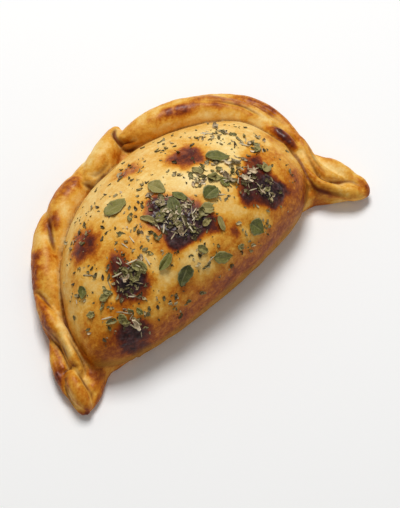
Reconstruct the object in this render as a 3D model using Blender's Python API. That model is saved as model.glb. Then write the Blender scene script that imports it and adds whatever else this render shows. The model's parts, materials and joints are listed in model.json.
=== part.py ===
"""Baked empanada: a domed half-moon pocket with a rolled, hand-folded seam.

The pocket and every fold of the seam start as UV spheres. The pocket's sphere
is shaped into a half-moon dome, and each fold's sphere is drawn out along the
seam line. Boolean modifiers join the folds to the pocket and cut the flat base.

The frame is the pastry's own: +Z is up, +X runs from the left tip to the right
tip, +Y points at the seam, and -Y is the smooth side where the disc is folded
over. Sizes are in millimetres here and become metres when a mesh is made.
"""

import math
from dataclasses import dataclass

import bmesh
import bpy
import numpy as np

MM = 0.001

# Pocket: the filled dome inside the seam. The outline is its widest line in plan.
POCKET_OUTLINE = (
    (60.5, -9.0),
    (53.0, 12.0),
    (30.0, 26.0),
    (4.0, 29.5),
    (-21.0, 24.0),
    (-40.5, 10.5),
    (-51.0, -4.0),
    (-57.5, -19.0),
    (-58.0, -30.0),
    (-47.5, -37.0),
    (-25.0, -40.6),
    (8.0, -40.4),
    (34.0, -37.8),
    (48.5, -33.0),
    (57.5, -23.5),
)
POCKET_SEGMENTS = 56
POCKET_RINGS = 26

# Sheet: the two layers of dough pressed flat under the seam, out towards the tips.
SHEET_FOLD_SIDE = (
    (67.0, -35.0),
    (50.0, -31.8),
    (30.0, -33.6),
    (-25.0, -35.8),
    (-49.0, -35.5),
    (-55.0, -35.2),
)
SHEET_RINGS = 14

# Seam: the line that the folds follow, from the left tip over to the right tip.
SEAM_POINTS = (
    (-71.5, -41.0),
    (-67.0, -25.5),
    (-59.0, -5.0),
    (-46.5, 13.5),
    (-27.0, 28.0),
    (-5.0, 35.0),
    (17.0, 35.5),
    (36.0, 30.5),
    (51.0, 21.0),
    (60.5, 8.0),
    (63.5, -10.0),
    (63.0, -25.0),
    (72.0, -41.5),
)
SEAM_STEPS = 40
FOLD_SEGMENTS = 14
FOLD_RINGS = 16

BASE_CUTTER_SIZE = 300.0

CRUST_COLOUR = (0.72, 0.43, 0.15, 1.0)
CRUST_ROUGHNESS = 0.5


@dataclass(frozen=True)
class Dome:
    """A rounded solid over an outline that every direction from its centre meets once."""

    outline: tuple[tuple[float, float], ...]
    centre: tuple[float, float]
    core: tuple[float, float]
    top: float
    waist: float
    sink: float
    seam_slope: float
    fold_slope: float
    base_curve: float


POCKET = Dome(
    outline=POCKET_OUTLINE,
    centre=(0.0, -9.0),
    core=(56.0, 34.0),
    top=39.0,
    waist=10.5,
    sink=6.0,
    seam_slope=1.3,
    fold_slope=0.9,
    base_curve=0.6,
)
SHEET = Dome(
    outline=SEAM_POINTS[:-1] + SHEET_FOLD_SIDE,
    centre=(0.0, -9.0),
    core=(56.0, 34.0),
    top=9.0,
    waist=3.5,
    sink=4.0,
    seam_slope=0.35,
    fold_slope=0.35,
    base_curve=0.4,
)


@dataclass(frozen=True)
class Fold:
    """One fold of dough along the seam; triples are at its start, middle and end."""

    name: str
    start: float
    end: float
    across: tuple[float, float, float]
    lift: tuple[float, float, float]
    width: float
    height: float
    taper: tuple[float, float] = (2.0, 2.0)
    slant: tuple[float, float] = (0.0, 0.0)


FOLDS = (
    Fold("under_edge_left", 34.0, 104.0, (0.0, 1.8, 2.0), (4.0, 4.8, 5.0), 8.0, 8.0),
    Fold("under_edge_right", 92.0, 190.0, (1.2, 2.4, 3.4), (5.0, 6.0, 6.0), 9.0, 10.0),
    Fold("band_left", 28.0, 130.0, (0.4, 0.2, 1.5), (6.5, 7.3, 8.5), 10.5, 11.0),
    Fold("tip_left", -1.4, 14.0, (-0.2, -0.4, 0.6), (2.5, 3.2, 3.5), 8.4, 6.5),
    Fold("bulb_left", -1.0, 16.5, (-1.6, -0.6, -1.0), (4.8, 7.2, 7.0), 7.2, 7.4, (2.6, 2.4)),
    Fold("layer_left", 2.5, 36.0, (0.4, 1.6, -1.4), (3.5, 4.8, 5.6), 7.2, 6.6, (2.6, 1.5)),
    Fold("lip_left", 6.0, 28.0, (-5.6, -7.8, -5.6), (4.4, 5.8, 6.4), 2.8, 6.0),
    Fold("curl_left", 22.0, 51.0, (-5.2, -0.9, 3.2), (8.4, 9.0, 7.2), 7.6, 9.6, (1.6, 1.4)),
    Fold("curl_neck", 11.8, 32.0, (-4.2, -3.8, -3.4), (7.0, 9.2, 9.4), 5.0, 8.4, (3.0, 2.0)),
    Fold("pleat_left", 37.5, 86.0, (-4.5, -0.2, 5.5), (6.0, 7.5, 6.0), 12.0, 12.0, (1.5, 1.6)),
    Fold("pleat_middle", 66.0, 108.0, (-4.2, 0.0, -0.2), (7.0, 8.0, 8.0), 12.5, 13.0, (1.5, 2.2)),
    Fold("pleat_high", 99.0, 129.0, (-2.6, -0.4, 7.6), (8.5, 9.5, 7.5), 12.5, 13.5, (2.2, 2.0)),
    Fold("long_roll", 124.5, 202.0, (-0.3, 0.6, -2.0), (11.0, 10.0, 11.0), 13.8, 15.0, (2.8, 1.1), (6.0, 0.0)),
    Fold("outer_strand", 146.0, 210.0, (6.2, 6.0, 1.2), (6.0, 7.5, 8.0), 8.5, 8.5),
    Fold("dark_bulb", 188.0, 208.0, (-2.8, -1.8, -1.2), (12.0, 12.5, 10.5), 6.0, 7.0, (2.0, 2.4)),
    Fold("neck_bed", 186.0, 232.0, (2.0, -1.2, -1.0), (5.0, 4.6, 4.0), 9.5, 8.0),
    Fold("neck_strand", 193.0, 233.0, (5.4, 1.3, 1.0), (8.0, 9.0, 5.6), 5.6, 8.0),
    Fold("inner_strand", 199.0, 237.0, (1.8, -4.9, -2.0), (9.2, 8.8, 5.6), 6.0, 8.4),
    Fold("lobe_right", 224.0, 239.0, (-5.4, -3.2, -1.0), (5.6, 6.2, 4.4), 6.0, 7.4, (2.0, 2.4)),
    Fold("flange_right", 206.0, 236.0, (3.6, 6.2, 2.6), (3.6, 5.2, 4.4), 8.4, 8.4, (2.2, 2.4)),
    Fold("tip_right", 226.0, 239.8, (2.0, 2.4, 0.4), (3.8, 4.6, 4.2), 8.8, 8.0),
)


@dataclass(frozen=True)
class Flap:
    """A flat wing of dough under a tip, from the pocket's neck out to the tip."""

    name: str
    inner: tuple[float, float]
    outer: tuple[float, float]
    width: float
    height: float
    lift: float


FLAPS = (
    Flap("flap_left", (-48.6, -25.2), (-71.4, -41.3), 9.6, 8.0, 2.6),
    Flap("flap_right", (46.5, -23.0), (71.5, -41.0), 6.4, 8.0, 2.6),
)


def catmull_rom(points, steps):
    """Return a smooth line through the points, with its first and last point kept."""
    knots = np.array(points)
    knots = np.vstack([2 * knots[0] - knots[1], knots, 2 * knots[-1] - knots[-2]])
    t = np.linspace(0.0, 1.0, steps, endpoint=False)[:, None]
    pieces = []
    for p0, p1, p2, p3 in zip(knots, knots[1:], knots[2:], knots[3:]):
        pieces.append(0.5 * (2 * p1 + (p2 - p0) * t + (2 * p0 - 5 * p1 + 4 * p2 - p3) * t**2
                             + (3 * p1 - p0 - 3 * p2 + p3) * t**3))
    return np.vstack(pieces + [knots[-2:-1]])


class SeamLine:
    """The seam in plan, read by the distance along it and the distance across it."""

    def __init__(self, points, steps):
        self.line = catmull_rom(points, steps)
        gaps = np.linalg.norm(np.diff(self.line, axis=0), axis=1)
        self.distance = np.concatenate([[0.0], np.cumsum(gaps)])
        slope = np.gradient(self.line, self.distance, axis=0)
        self.along = slope / np.linalg.norm(slope, axis=1)[:, None]

    def place(self, distance, across):
        """Return the plan point beside the seam; positive across is outward."""
        inside = min(max(distance, 0.0), self.distance[-1])
        x, y = (np.interp(inside, self.distance, self.line[:, axis]) for axis in (0, 1))
        ax, ay = (np.interp(inside, self.distance, self.along[:, axis]) for axis in (0, 1))
        beyond = distance - inside
        return x + ax * beyond - ay * across, y + ay * beyond + ax * across


def through_three(values, share):
    """Read the parabola through the start, middle and end values at a share of 0 to 1."""
    first, middle, last = values
    return (first * (1 - share) * (1 - 2 * share) + middle * 4 * share * (1 - share)
            + last * share * (2 * share - 1))


def sphere_object(name, segments, rings, shape, collection):
    """Add a unit UV sphere with its poles on Z and move each point by shape(u, v, w)."""
    mesh = bpy.data.meshes.new(name)
    solid = bmesh.new()
    bmesh.ops.create_uvsphere(solid, u_segments=segments, v_segments=rings, radius=1.0)
    for vert in solid.verts:
        vert.co = [MM * value for value in shape(*vert.co)]
    solid.to_mesh(mesh)
    solid.free()
    item = bpy.data.objects.new(name, mesh)
    collection.objects.link(item)
    return item


def dome_shape(dome):
    """Return the function that moves a unit sphere's point to the dome's skin."""
    line = catmull_rom(dome.outline + dome.outline[:1], SEAM_STEPS) - np.array(dome.centre)
    turns = np.arctan2(line[:, 1], line[:, 0])
    reaches = np.linalg.norm(line, axis=1)
    order = np.argsort(turns)

    def shape(u, v, w):
        angle = math.atan2(v, u)
        cos, sin = math.cos(angle), math.sin(angle)
        edge = np.interp(angle, turns[order], reaches[order], period=2 * math.pi)
        core = 1.0 / math.hypot(cos / dome.core[0], sin / dome.core[1])
        ring = math.hypot(u, v)
        radius = ring * (core + (edge - core) * ring**3)
        slope = dome.fold_slope + (dome.seam_slope - dome.fold_slope) * (1 + sin) / 2
        if w > 0:
            z = dome.waist + (dome.top - dome.waist) * w**slope
        else:
            z = dome.waist - (dome.waist + dome.sink) * abs(w) ** dome.base_curve
        return dome.centre[0] + radius * cos, dome.centre[1] + radius * sin, z
    return shape


def fold_shape(fold, seam):
    """Return the function that draws a unit sphere out along the seam as this fold."""
    def shape(u, v, w):
        # The sphere's poles are on Z, and the fold's ends take them.
        share = (w + 1.0) / 2.0
        ring = math.hypot(u, v)
        power = fold.taper[0] if w < 0 else fold.taper[1]
        thick = math.sqrt(max(0.0, 1.0 - abs(w) ** power))
        side, rise = (u / ring * thick, v / ring * thick) if ring > 1e-6 else (0.0, 0.0)
        across = through_three(fold.across, share) + side * fold.width / 2
        ahead = side * (fold.slant[1] * share**2 - fold.slant[0] * (1 - share) ** 2)
        x, y = seam.place(fold.start + share * (fold.end - fold.start) + ahead, across)
        return x, y, through_three(fold.lift, share) + rise * fold.height / 2
    return shape


def flap_shape(flap):
    """Return the function that turns a unit sphere into a flat wing between two plan points."""
    run = (flap.outer[0] - flap.inner[0], flap.outer[1] - flap.inner[1])
    length = math.hypot(*run)
    along = (run[0] / length, run[1] / length)
    middle = [(first + last) / 2 for first, last in zip(flap.inner, flap.outer)]

    def shape(u, v, w):
        x = middle[0] + along[0] * u * length / 2 - along[1] * v * flap.width / 2
        y = middle[1] + along[1] * u * length / 2 + along[0] * v * flap.width / 2
        return x, y, flap.lift + w * flap.height / 2
    return shape


def new_collection(name):
    """Add a collection to the scene."""
    collection = bpy.data.collections.new(name)
    bpy.context.scene.collection.children.link(collection)
    return collection


def clear_scene():
    """Remove the objects and collections that the file starts with."""
    for item in list(bpy.data.objects):
        bpy.data.objects.remove(item, do_unlink=True)
    for collection in list(bpy.data.collections):
        bpy.data.collections.remove(collection)


def crust_material():
    """Return the baked crust's material."""
    material = bpy.data.materials.new("baked_crust")
    material.use_nodes = True
    shader = material.node_tree.nodes["Principled BSDF"]
    shader.inputs["Base Color"].default_value = CRUST_COLOUR
    shader.inputs["Roughness"].default_value = CRUST_ROUGHNESS
    material.diffuse_color = CRUST_COLOUR
    return material


def base_cutter(collection):
    """Add the block whose top face at z = 0 cuts the flat base."""
    size = BASE_CUTTER_SIZE * MM
    bpy.ops.mesh.primitive_cube_add(size=size, location=(0.0, 0.0, -size / 2))
    cutter = bpy.context.object
    cutter.name = "base_cutter"
    for owner in list(cutter.users_collection):
        owner.objects.unlink(cutter)
    collection.objects.link(cutter)
    return cutter


def centre_on_box(crust, frame):
    """Shift the frame so that the crust's box is centred on the origin in plan."""
    bpy.context.view_layer.update()
    shaped = crust.evaluated_get(bpy.context.evaluated_depsgraph_get())
    corners = np.array([shaped.matrix_world @ vert.co for vert in shaped.data.vertices])
    middle = (corners.min(axis=0) + corners.max(axis=0)) / 2
    frame.location = (-middle[0], -middle[1], 0.0)
    bpy.context.view_layer.update()


def build():
    """Build the empanada's one piece of pastry."""
    clear_scene()
    parts = new_collection("empanada")
    folds = new_collection("empanada_folds")
    cutters = new_collection("empanada_cutters")
    seam = SeamLine(SEAM_POINTS, SEAM_STEPS)

    crust = sphere_object("crust", POCKET_SEGMENTS, POCKET_RINGS, dome_shape(POCKET), parts)
    crust.data.materials.append(crust_material())
    sphere_object("sheet", POCKET_SEGMENTS, SHEET_RINGS, dome_shape(SHEET), folds)
    for fold in FOLDS:
        sphere_object(fold.name, FOLD_SEGMENTS, FOLD_RINGS, fold_shape(fold, seam), folds)
    for flap in FLAPS:
        sphere_object(flap.name, FOLD_SEGMENTS, FOLD_RINGS // 2, flap_shape(flap), folds)
    cutter = base_cutter(cutters)

    join = crust.modifiers.new("join_folds", "BOOLEAN")
    join.operation = "UNION"
    join.solver = "EXACT"
    join.operand_type = "COLLECTION"
    join.collection = folds
    flat = crust.modifiers.new("flat_base", "BOOLEAN")
    flat.operation = "DIFFERENCE"
    flat.solver = "EXACT"
    flat.object = cutter

    frame = bpy.data.objects.new("empanada_frame", None)
    parts.objects.link(frame)
    for item in [crust, cutter, *folds.objects]:
        item.parent = frame
    for item in [cutter, *folds.objects]:
        item.hide_render = True
        item.display_type = "WIRE"
    centre_on_box(crust, frame)


build()
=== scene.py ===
"""Dressed model of a baked empanada: the crust's skin, its bake colours and the dried oregano on it."""

from __future__ import annotations

import json
import logging
import math
from dataclasses import dataclass
from enum import Enum

import bmesh
import bpy
import numpy as np
from mathutils import Matrix, Vector, noise
from mathutils.bvhtree import BVHTree
from mathutils.kdtree import KDTree

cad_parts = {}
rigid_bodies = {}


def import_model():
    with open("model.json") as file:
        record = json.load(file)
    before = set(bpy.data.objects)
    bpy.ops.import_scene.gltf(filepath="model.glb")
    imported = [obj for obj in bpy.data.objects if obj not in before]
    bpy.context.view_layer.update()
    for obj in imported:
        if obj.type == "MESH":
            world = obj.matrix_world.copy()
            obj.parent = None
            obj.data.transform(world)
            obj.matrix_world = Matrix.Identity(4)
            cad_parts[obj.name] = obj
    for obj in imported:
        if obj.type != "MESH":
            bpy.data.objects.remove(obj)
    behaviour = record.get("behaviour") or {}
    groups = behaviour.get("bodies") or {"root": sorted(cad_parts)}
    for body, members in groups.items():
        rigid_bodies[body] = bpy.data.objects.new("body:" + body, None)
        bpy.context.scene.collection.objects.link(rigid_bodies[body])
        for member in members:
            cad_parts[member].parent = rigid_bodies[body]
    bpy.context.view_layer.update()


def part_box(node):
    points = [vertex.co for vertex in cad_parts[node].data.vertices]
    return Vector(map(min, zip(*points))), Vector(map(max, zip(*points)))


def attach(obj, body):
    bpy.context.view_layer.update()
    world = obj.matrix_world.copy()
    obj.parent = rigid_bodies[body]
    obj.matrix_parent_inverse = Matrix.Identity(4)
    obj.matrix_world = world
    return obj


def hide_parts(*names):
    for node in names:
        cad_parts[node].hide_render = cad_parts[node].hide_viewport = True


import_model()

LOG = logging.getLogger("empanada")
MM = 0.001
BODY = "root"
EVEN_STRENGTH = 0.5  # share of the way to the neighbours' mean in one round of smoothing
Points = np.ndarray
Faces = list[tuple[int, ...]]

# Seam line in plan, from the left tip over to the right tip, and the fold side between the tips.
SEAM_POINTS = (
    (-71.5, -41.0), (-67.0, -25.5), (-59.0, -5.0), (-46.5, 13.5), (-27.0, 28.0),
    (-5.0, 35.0), (17.0, 35.5), (36.0, 30.5), (51.0, 21.0), (60.5, 8.0),
    (63.5, -10.0), (63.0, -25.0), (72.0, -41.5),
)
SHEET_FOLD_SIDE = (
    (67.0, -35.0), (50.0, -31.8), (30.0, -33.6), (-25.0, -35.8), (-49.0, -35.5), (-55.0, -35.2),
)
POCKET_OUTLINE = (
    (60.5, -9.0), (53.0, 12.0), (30.0, 26.0), (4.0, 29.5), (-21.0, 24.0),
    (-40.5, 10.5), (-51.0, -4.0), (-57.5, -19.0), (-58.0, -30.0), (-47.5, -37.0),
    (-25.0, -40.6), (8.0, -40.4), (34.0, -37.8), (48.5, -33.0), (57.5, -23.5),
)


def catmull_rom(points: tuple[tuple[float, float], ...], steps: int = 60) -> Points:
    """Return a smooth line through the points.

    Args:
        points: Plan points in millimetres.
        steps: Points made for each stretch between two of them.

    Returns:
        The line's points, one row each.
    """
    knots = np.array(points)
    knots = np.vstack([2 * knots[0] - knots[1], knots, 2 * knots[-1] - knots[-2]])
    t = np.linspace(0.0, 1.0, steps, endpoint=False)[:, None]
    pieces = [
        0.5 * (2 * p1 + (p2 - p0) * t + (2 * p0 - 5 * p1 + 4 * p2 - p3) * t**2
               + (3 * p1 - p0 - 3 * p2 + p3) * t**3)
        for p0, p1, p2, p3 in zip(knots, knots[1:], knots[2:], knots[3:])
    ]
    return np.vstack(pieces + [knots[-2:-1]])


def through_three(values: tuple[float, float, float], share: Points) -> Points:
    """Read the parabola through three values.

    Args:
        values: Values at the start, the middle and the end.
        share: Where to read it, from 0 to 1.

    Returns:
        One value for each share.
    """
    first, middle, last = values
    return (first * (1 - share) * (1 - 2 * share) + middle * 4 * share * (1 - share)
            + last * share * (2 * share - 1))


class SeamLine:
    """The seam in plan, read by the distance along it and the distance across it."""

    def __init__(self, points: tuple[tuple[float, float], ...]) -> None:
        """Measure the smooth line through the seam's points.

        Args:
            points: Plan points in millimetres.
        """
        self.line = catmull_rom(points)
        gaps = np.linalg.norm(np.diff(self.line, axis=0), axis=1)
        self.distance = np.concatenate([[0.0], np.cumsum(gaps)])
        slope = np.gradient(self.line, self.distance, axis=0)
        self.along = slope / np.linalg.norm(slope, axis=1)[:, None]

    def place(self, distance: Points, across: Points) -> Points:
        """Return plan points beside the seam.

        Args:
            distance: Millimetres along the seam, past its ends too.
            across: Millimetres across it, positive outwards.

        Returns:
            Plan points, one row each.
        """
        inside = np.clip(distance, 0.0, self.distance[-1])
        spot = np.stack([np.interp(inside, self.distance, self.line[:, k]) for k in (0, 1)], 1)
        along = np.stack([np.interp(inside, self.distance, self.along[:, k]) for k in (0, 1)], 1)
        outward = np.stack([-along[:, 1], along[:, 0]], 1)
        return spot + along * (distance - inside)[:, None] + outward * across[:, None]


@dataclass(frozen=True)
class Dome:
    """A rounded solid over an outline that every direction from its centre meets once."""

    outline: tuple[tuple[float, float], ...]
    top: float
    waist: float
    sink: float
    seam_slope: float
    fold_slope: float
    base_curve: float
    centre: tuple[float, float] = (0.0, -9.0)
    core: tuple[float, float] = (56.0, 34.0)

    def shape(self, ball: Points) -> Points:
        """Move a unit sphere's points to the dome's skin.

        Args:
            ball: Points of the unit sphere.

        Returns:
            Points of the skin in millimetres.
        """
        line = catmull_rom(self.outline + self.outline[:1]) - np.array(self.centre)
        turns = np.arctan2(line[:, 1], line[:, 0])
        order = np.argsort(turns)
        angle = np.arctan2(ball[:, 1], ball[:, 0])
        edge = np.interp(angle, turns[order], np.linalg.norm(line, axis=1)[order], period=2 * math.pi)
        core = 1.0 / np.hypot(np.cos(angle) / self.core[0], np.sin(angle) / self.core[1])
        ring = np.hypot(ball[:, 0], ball[:, 1])
        radius = ring * (core + (edge - core) * ring**3)
        slope = self.fold_slope + (self.seam_slope - self.fold_slope) * (1 + np.sin(angle)) / 2
        rise = np.abs(ball[:, 2])
        z = np.where(ball[:, 2] > 0,
                     self.waist + (self.top - self.waist) * rise**slope,
                     self.waist - (self.waist + self.sink) * rise**self.base_curve)
        return np.stack([self.centre[0] + radius * np.cos(angle),
                         self.centre[1] + radius * np.sin(angle), z], 1)


@dataclass(frozen=True)
class Fold:
    """One fold of dough along the seam; triples are at its start, middle and end."""

    name: str
    start: float
    end: float
    across: tuple[float, float, float]
    lift: tuple[float, float, float]
    width: float
    height: float
    taper: tuple[float, float] = (2.0, 2.0)
    slant: tuple[float, float] = (0.0, 0.0)

    def shape(self, ball: Points, seam: SeamLine) -> Points:
        """Draw a unit sphere out along the seam as this fold.

        Args:
            ball: Points of the unit sphere, with its poles at the fold's ends.
            seam: The line that the fold follows.

        Returns:
            Points of the fold's skin in millimetres.
        """
        u, v, w = ball.T
        share = (w + 1) / 2
        ring = np.maximum(np.hypot(u, v), 1e-6)
        power = np.where(w < 0, self.taper[0], self.taper[1])
        thick = np.sqrt(np.maximum(0.0, 1.0 - np.abs(w) ** power))
        side = u / ring * thick
        ahead = side * (self.slant[1] * share**2 - self.slant[0] * (1 - share) ** 2)
        across = through_three(self.across, share) + side * self.width / 2
        plan = seam.place(self.start + share * (self.end - self.start) + ahead, across)
        z = through_three(self.lift, share) + v / ring * thick * self.height / 2
        return np.column_stack([plan, z])


@dataclass(frozen=True)
class Flap:
    """A flat wing of dough under a tip, from the pocket's neck out to the tip."""

    inner: tuple[float, float]
    outer: tuple[float, float]
    width: float
    height: float = 8.0
    lift: float = 2.6

    def shape(self, ball: Points) -> Points:
        """Flatten a unit sphere into the wing.

        Args:
            ball: Points of the unit sphere.

        Returns:
            Points of the wing's skin in millimetres.
        """
        run = np.array(self.outer) - np.array(self.inner)
        along = run / np.linalg.norm(run)
        outward = np.array([-along[1], along[0]])
        middle = (np.array(self.outer) + np.array(self.inner)) / 2
        plan = (middle + np.outer(ball[:, 0] * np.linalg.norm(run) / 2, along)
                + np.outer(ball[:, 1] * self.width / 2, outward))
        return np.column_stack([plan, self.lift + ball[:, 2] * self.height / 2])


POCKET = Dome(POCKET_OUTLINE, top=39.0, waist=10.5, sink=6.0, seam_slope=1.3, fold_slope=0.9, base_curve=0.6)
SHEET = Dome(SEAM_POINTS[:-1] + SHEET_FOLD_SIDE, top=9.0, waist=3.5, sink=4.0, seam_slope=0.35,
             fold_slope=0.35, base_curve=0.4)
FOLDS = (
    Fold("under_edge_left", 34.0, 104.0, (0.0, 1.8, 2.0), (4.0, 4.8, 5.0), 8.0, 8.0),
    Fold("under_edge_right", 92.0, 190.0, (1.2, 2.4, 3.4), (5.0, 6.0, 6.0), 9.0, 10.0),
    Fold("band_left", 28.0, 130.0, (0.4, 0.2, 1.5), (6.5, 7.3, 8.5), 10.5, 11.0),
    Fold("tip_left", -1.4, 14.0, (-0.2, -0.4, 0.6), (2.5, 3.2, 3.5), 8.4, 6.5),
    Fold("bulb_left", -1.0, 16.5, (-1.6, -0.6, -1.0), (4.8, 7.2, 7.0), 7.2, 7.4, (2.6, 2.4)),
    Fold("layer_left", 2.5, 36.0, (0.4, 1.6, -1.4), (3.5, 4.8, 5.6), 7.2, 6.6, (2.6, 1.5)),
    Fold("lip_left", 6.0, 28.0, (-5.6, -7.8, -5.6), (4.4, 5.8, 6.4), 2.8, 6.0),
    Fold("curl_left", 22.0, 51.0, (-5.2, -0.9, 3.2), (8.4, 9.0, 7.2), 7.6, 9.6, (1.6, 1.4)),
    Fold("curl_neck", 11.8, 32.0, (-4.2, -3.8, -3.4), (7.0, 9.2, 9.4), 5.0, 8.4, (3.0, 2.0)),
    Fold("pleat_left", 37.5, 86.0, (-4.5, -0.2, 5.5), (6.0, 7.5, 6.0), 12.0, 12.0, (1.5, 1.6)),
    Fold("pleat_middle", 66.0, 108.0, (-4.2, 0.0, -0.2), (7.0, 8.0, 8.0), 12.5, 13.0, (1.5, 2.2)),
    Fold("pleat_high", 99.0, 129.0, (-2.6, -0.4, 7.6), (8.5, 9.5, 7.5), 12.5, 13.5, (2.2, 2.0)),
    Fold("long_roll", 124.5, 202.0, (-0.3, 0.6, -2.0), (11.0, 10.0, 11.0), 13.8, 15.0, (2.8, 1.1), (6.0,
         0.0)),
    Fold("outer_strand", 146.0, 210.0, (6.2, 6.0, 1.2), (6.0, 7.5, 8.0), 8.5, 8.5),
    Fold("dark_bulb", 188.0, 208.0, (-2.8, -1.8, -1.2), (12.0, 12.5, 10.5), 6.0, 7.0, (2.0, 2.4)),
    Fold("neck_bed", 186.0, 232.0, (2.0, -1.2, -1.0), (5.0, 4.6, 4.0), 9.5, 8.0),
    Fold("neck_strand", 193.0, 233.0, (5.4, 1.3, 1.0), (8.0, 9.0, 5.6), 5.6, 8.0),
    Fold("inner_strand", 199.0, 237.0, (1.8, -4.9, -2.0), (9.2, 8.8, 5.6), 6.0, 8.4),
    Fold("lobe_right", 224.0, 239.0, (-5.4, -3.2, -1.0), (5.6, 6.2, 4.4), 6.0, 7.4, (2.0, 2.4)),
    Fold("flange_right", 206.0, 236.0, (3.6, 6.2, 2.6), (3.6, 5.2, 4.4), 8.4, 8.4, (2.2, 2.4)),
    Fold("tip_right", 226.0, 239.8, (2.0, 2.4, 0.4), (3.8, 4.6, 4.2), 8.8, 8.0),
)
FLAPS = (
    Flap((-48.6, -25.2), (-71.4, -41.3), width=9.6),
    Flap((46.5, -23.0), (71.5, -41.0), width=6.4),
)


def unit_sphere(segments: int, rings: int) -> tuple[Points, Faces]:
    """Make a unit sphere.

    Args:
        segments: Faces round it.
        rings: Faces from pole to pole.

    Returns:
        Its points and its faces.
    """
    ball = bmesh.new()
    bmesh.ops.create_uvsphere(ball, u_segments=segments, v_segments=rings, radius=1.0)
    points = np.array([vert.co for vert in ball.verts])
    faces = [tuple(vert.index for vert in face.verts) for face in ball.faces]
    ball.free()
    return points, faces


def sheet_faces(across: int, along: int) -> Faces:
    """Close a thin scrap whose underside's grid of points is followed by its top's.

    Args:
        across: Steps across the scrap.
        along: Steps along it.

    Returns:
        The faces of its underside, its top and its edge.
    """
    wide = across + 1
    count = wide * (along + 1)
    faces = []
    for row in range(along):
        for column in range(across):
            a = row * wide + column
            b, c, d = a + 1, a + wide + 1, a + wide
            faces += [(a, b, c, d), (count + d, count + c, count + b, count + a)]
    ring = list(range(wide)) + [row * wide + across for row in range(1, along + 1)]
    ring += [count - 1 - step for step in range(1, wide)]
    ring += [row * wide for row in range(along - 1, 0, -1)]
    for first, second in zip(ring, ring[1:] + ring[:1]):
        faces.append((second, first, first + count, second + count))
    return faces


def mesh_object(name: str, points: Points, faces: Faces) -> bpy.types.Object:
    """Make a mesh object outside the scene.

    Args:
        name: Name of the object and of its mesh.
        points: Points in millimetres.
        faces: Point indices of each face.

    Returns:
        The object.
    """
    mesh = bpy.data.meshes.new(name)
    mesh.from_pydata((np.asarray(points) * MM).tolist(), [], faces)
    mesh.update()
    return bpy.data.objects.new(name, mesh)


def in_scene(item: bpy.types.Object) -> bpy.types.Object:
    """Link an object to the scene and return it."""
    bpy.context.scene.collection.objects.link(item)
    return item


def read_rows(items: bpy.types.bpy_prop_collection, name: str, width: int,
              kind: type = np.float32) -> Points:
    """Read one value of every item of a mesh.

    Args:
        items: The mesh's points, normals or edges.
        name: Blender's name for the value.
        width: How many numbers it has.
        kind: Type of the numbers.

    Returns:
        One row for each item.
    """
    flat = np.zeros(len(items) * width, kind)
    items.foreach_get(name, flat)
    return flat.reshape(-1, width)


def coordinates(mesh: bpy.types.Mesh) -> Points:
    """Return a mesh's points in millimetres."""
    return read_rows(mesh.vertices, "co", 3).astype(float) / MM


def normals(mesh: bpy.types.Mesh) -> Points:
    """Return a mesh's point normals."""
    return read_rows(mesh.vertex_normals, "vector", 3).astype(float)


def edge_pairs(mesh: bpy.types.Mesh) -> Points:
    """Return a mesh's edges as pairs of point indices."""
    return read_rows(mesh.edges, "vertices", 2, np.int32)


def set_coordinates(mesh: bpy.types.Mesh, points: Points) -> None:
    """Move a mesh's points to places given in millimetres."""
    mesh.vertices.foreach_set("co", (points * MM).astype(np.float32).ravel())
    mesh.update()


def set_layer(mesh: bpy.types.Mesh, name: str, values: Points) -> None:
    """Store one number for each point of a mesh under a name."""
    layer = mesh.attributes.new(name, "FLOAT", "POINT")
    layer.data.foreach_set("value", values.astype(np.float32))


def baked(item: bpy.types.Object) -> bpy.types.Mesh:
    """Turn what an object's modifiers give into its plain mesh.

    Args:
        item: The object, which loses its modifiers.

    Returns:
        Its new mesh.
    """
    bpy.context.view_layer.update()
    shaped = item.evaluated_get(bpy.context.evaluated_depsgraph_get())
    mesh = bpy.data.meshes.new_from_object(shaped)
    item.modifiers.clear()
    old = item.data
    item.data = mesh
    mesh.name = item.name
    bpy.data.meshes.remove(old)
    return mesh


def under_ceiling(points: Points, start: float = 39.3, room: float = 0.8) -> Points:
    """Press what stands above the crust's crest softly back towards it.

    Args:
        points: Points in millimetres.
        start: Height from which they are pressed.
        room: The most that they may stand above it.

    Returns:
        The points, none higher than start and room together.
    """
    lower = points.copy()
    over = np.maximum(0.0, points[:, 2] - start)
    lower[:, 2] = np.minimum(points[:, 2], start) + room * np.tanh(over / room)
    return lower


def lumps(points: Points, size: float, seed: float, octaves: int = 2) -> Points:
    """Return smooth noise at points.

    Args:
        points: Places in millimetres.
        size: Width of one lump in millimetres.
        seed: Shift that makes one noise differ from another.
        octaves: Layers of finer noise.

    Returns:
        Values between about -1 and 1.
    """
    shifted = points / size + seed
    return np.array([noise.fractal(Vector(p), 0.9, 2.1, octaves) for p in shifted])


def fade(low: float, high: float, values: Points) -> Points:
    """Rise smoothly from 0 at low to 1 at high; low may be the greater."""
    share = np.clip((values - low) / (high - low), 0.0, 1.0)
    return share * share * (3.0 - 2.0 * share)


def relaxed(points: Points, edges: Points, strength: Points | float, rounds: int) -> Points:
    """Move every point towards the mean of its neighbours.

    Args:
        points: Values to smooth, one row for each mesh point.
        edges: Pairs of point indices.
        strength: Share of the way moved in a round, for each point or for all.
        rounds: Number of rounds.

    Returns:
        The smoothed values.
    """
    first, second = edges.T
    count = len(points)
    degree = np.maximum(np.bincount(edges.ravel(), minlength=count), 1)
    result = points.copy()
    for _ in range(rounds):
        for column in result.T:
            total = (np.bincount(first, column[second], count)
                     + np.bincount(second, column[first], count))
            column += strength * (total / degree - column)
    return result


def evened(values: Points, edges: Points, rounds: int) -> Points:
    """Smooth one number for each mesh point."""
    return relaxed(values[:, None], edges, EVEN_STRENGTH, rounds)[:, 0]


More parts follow.
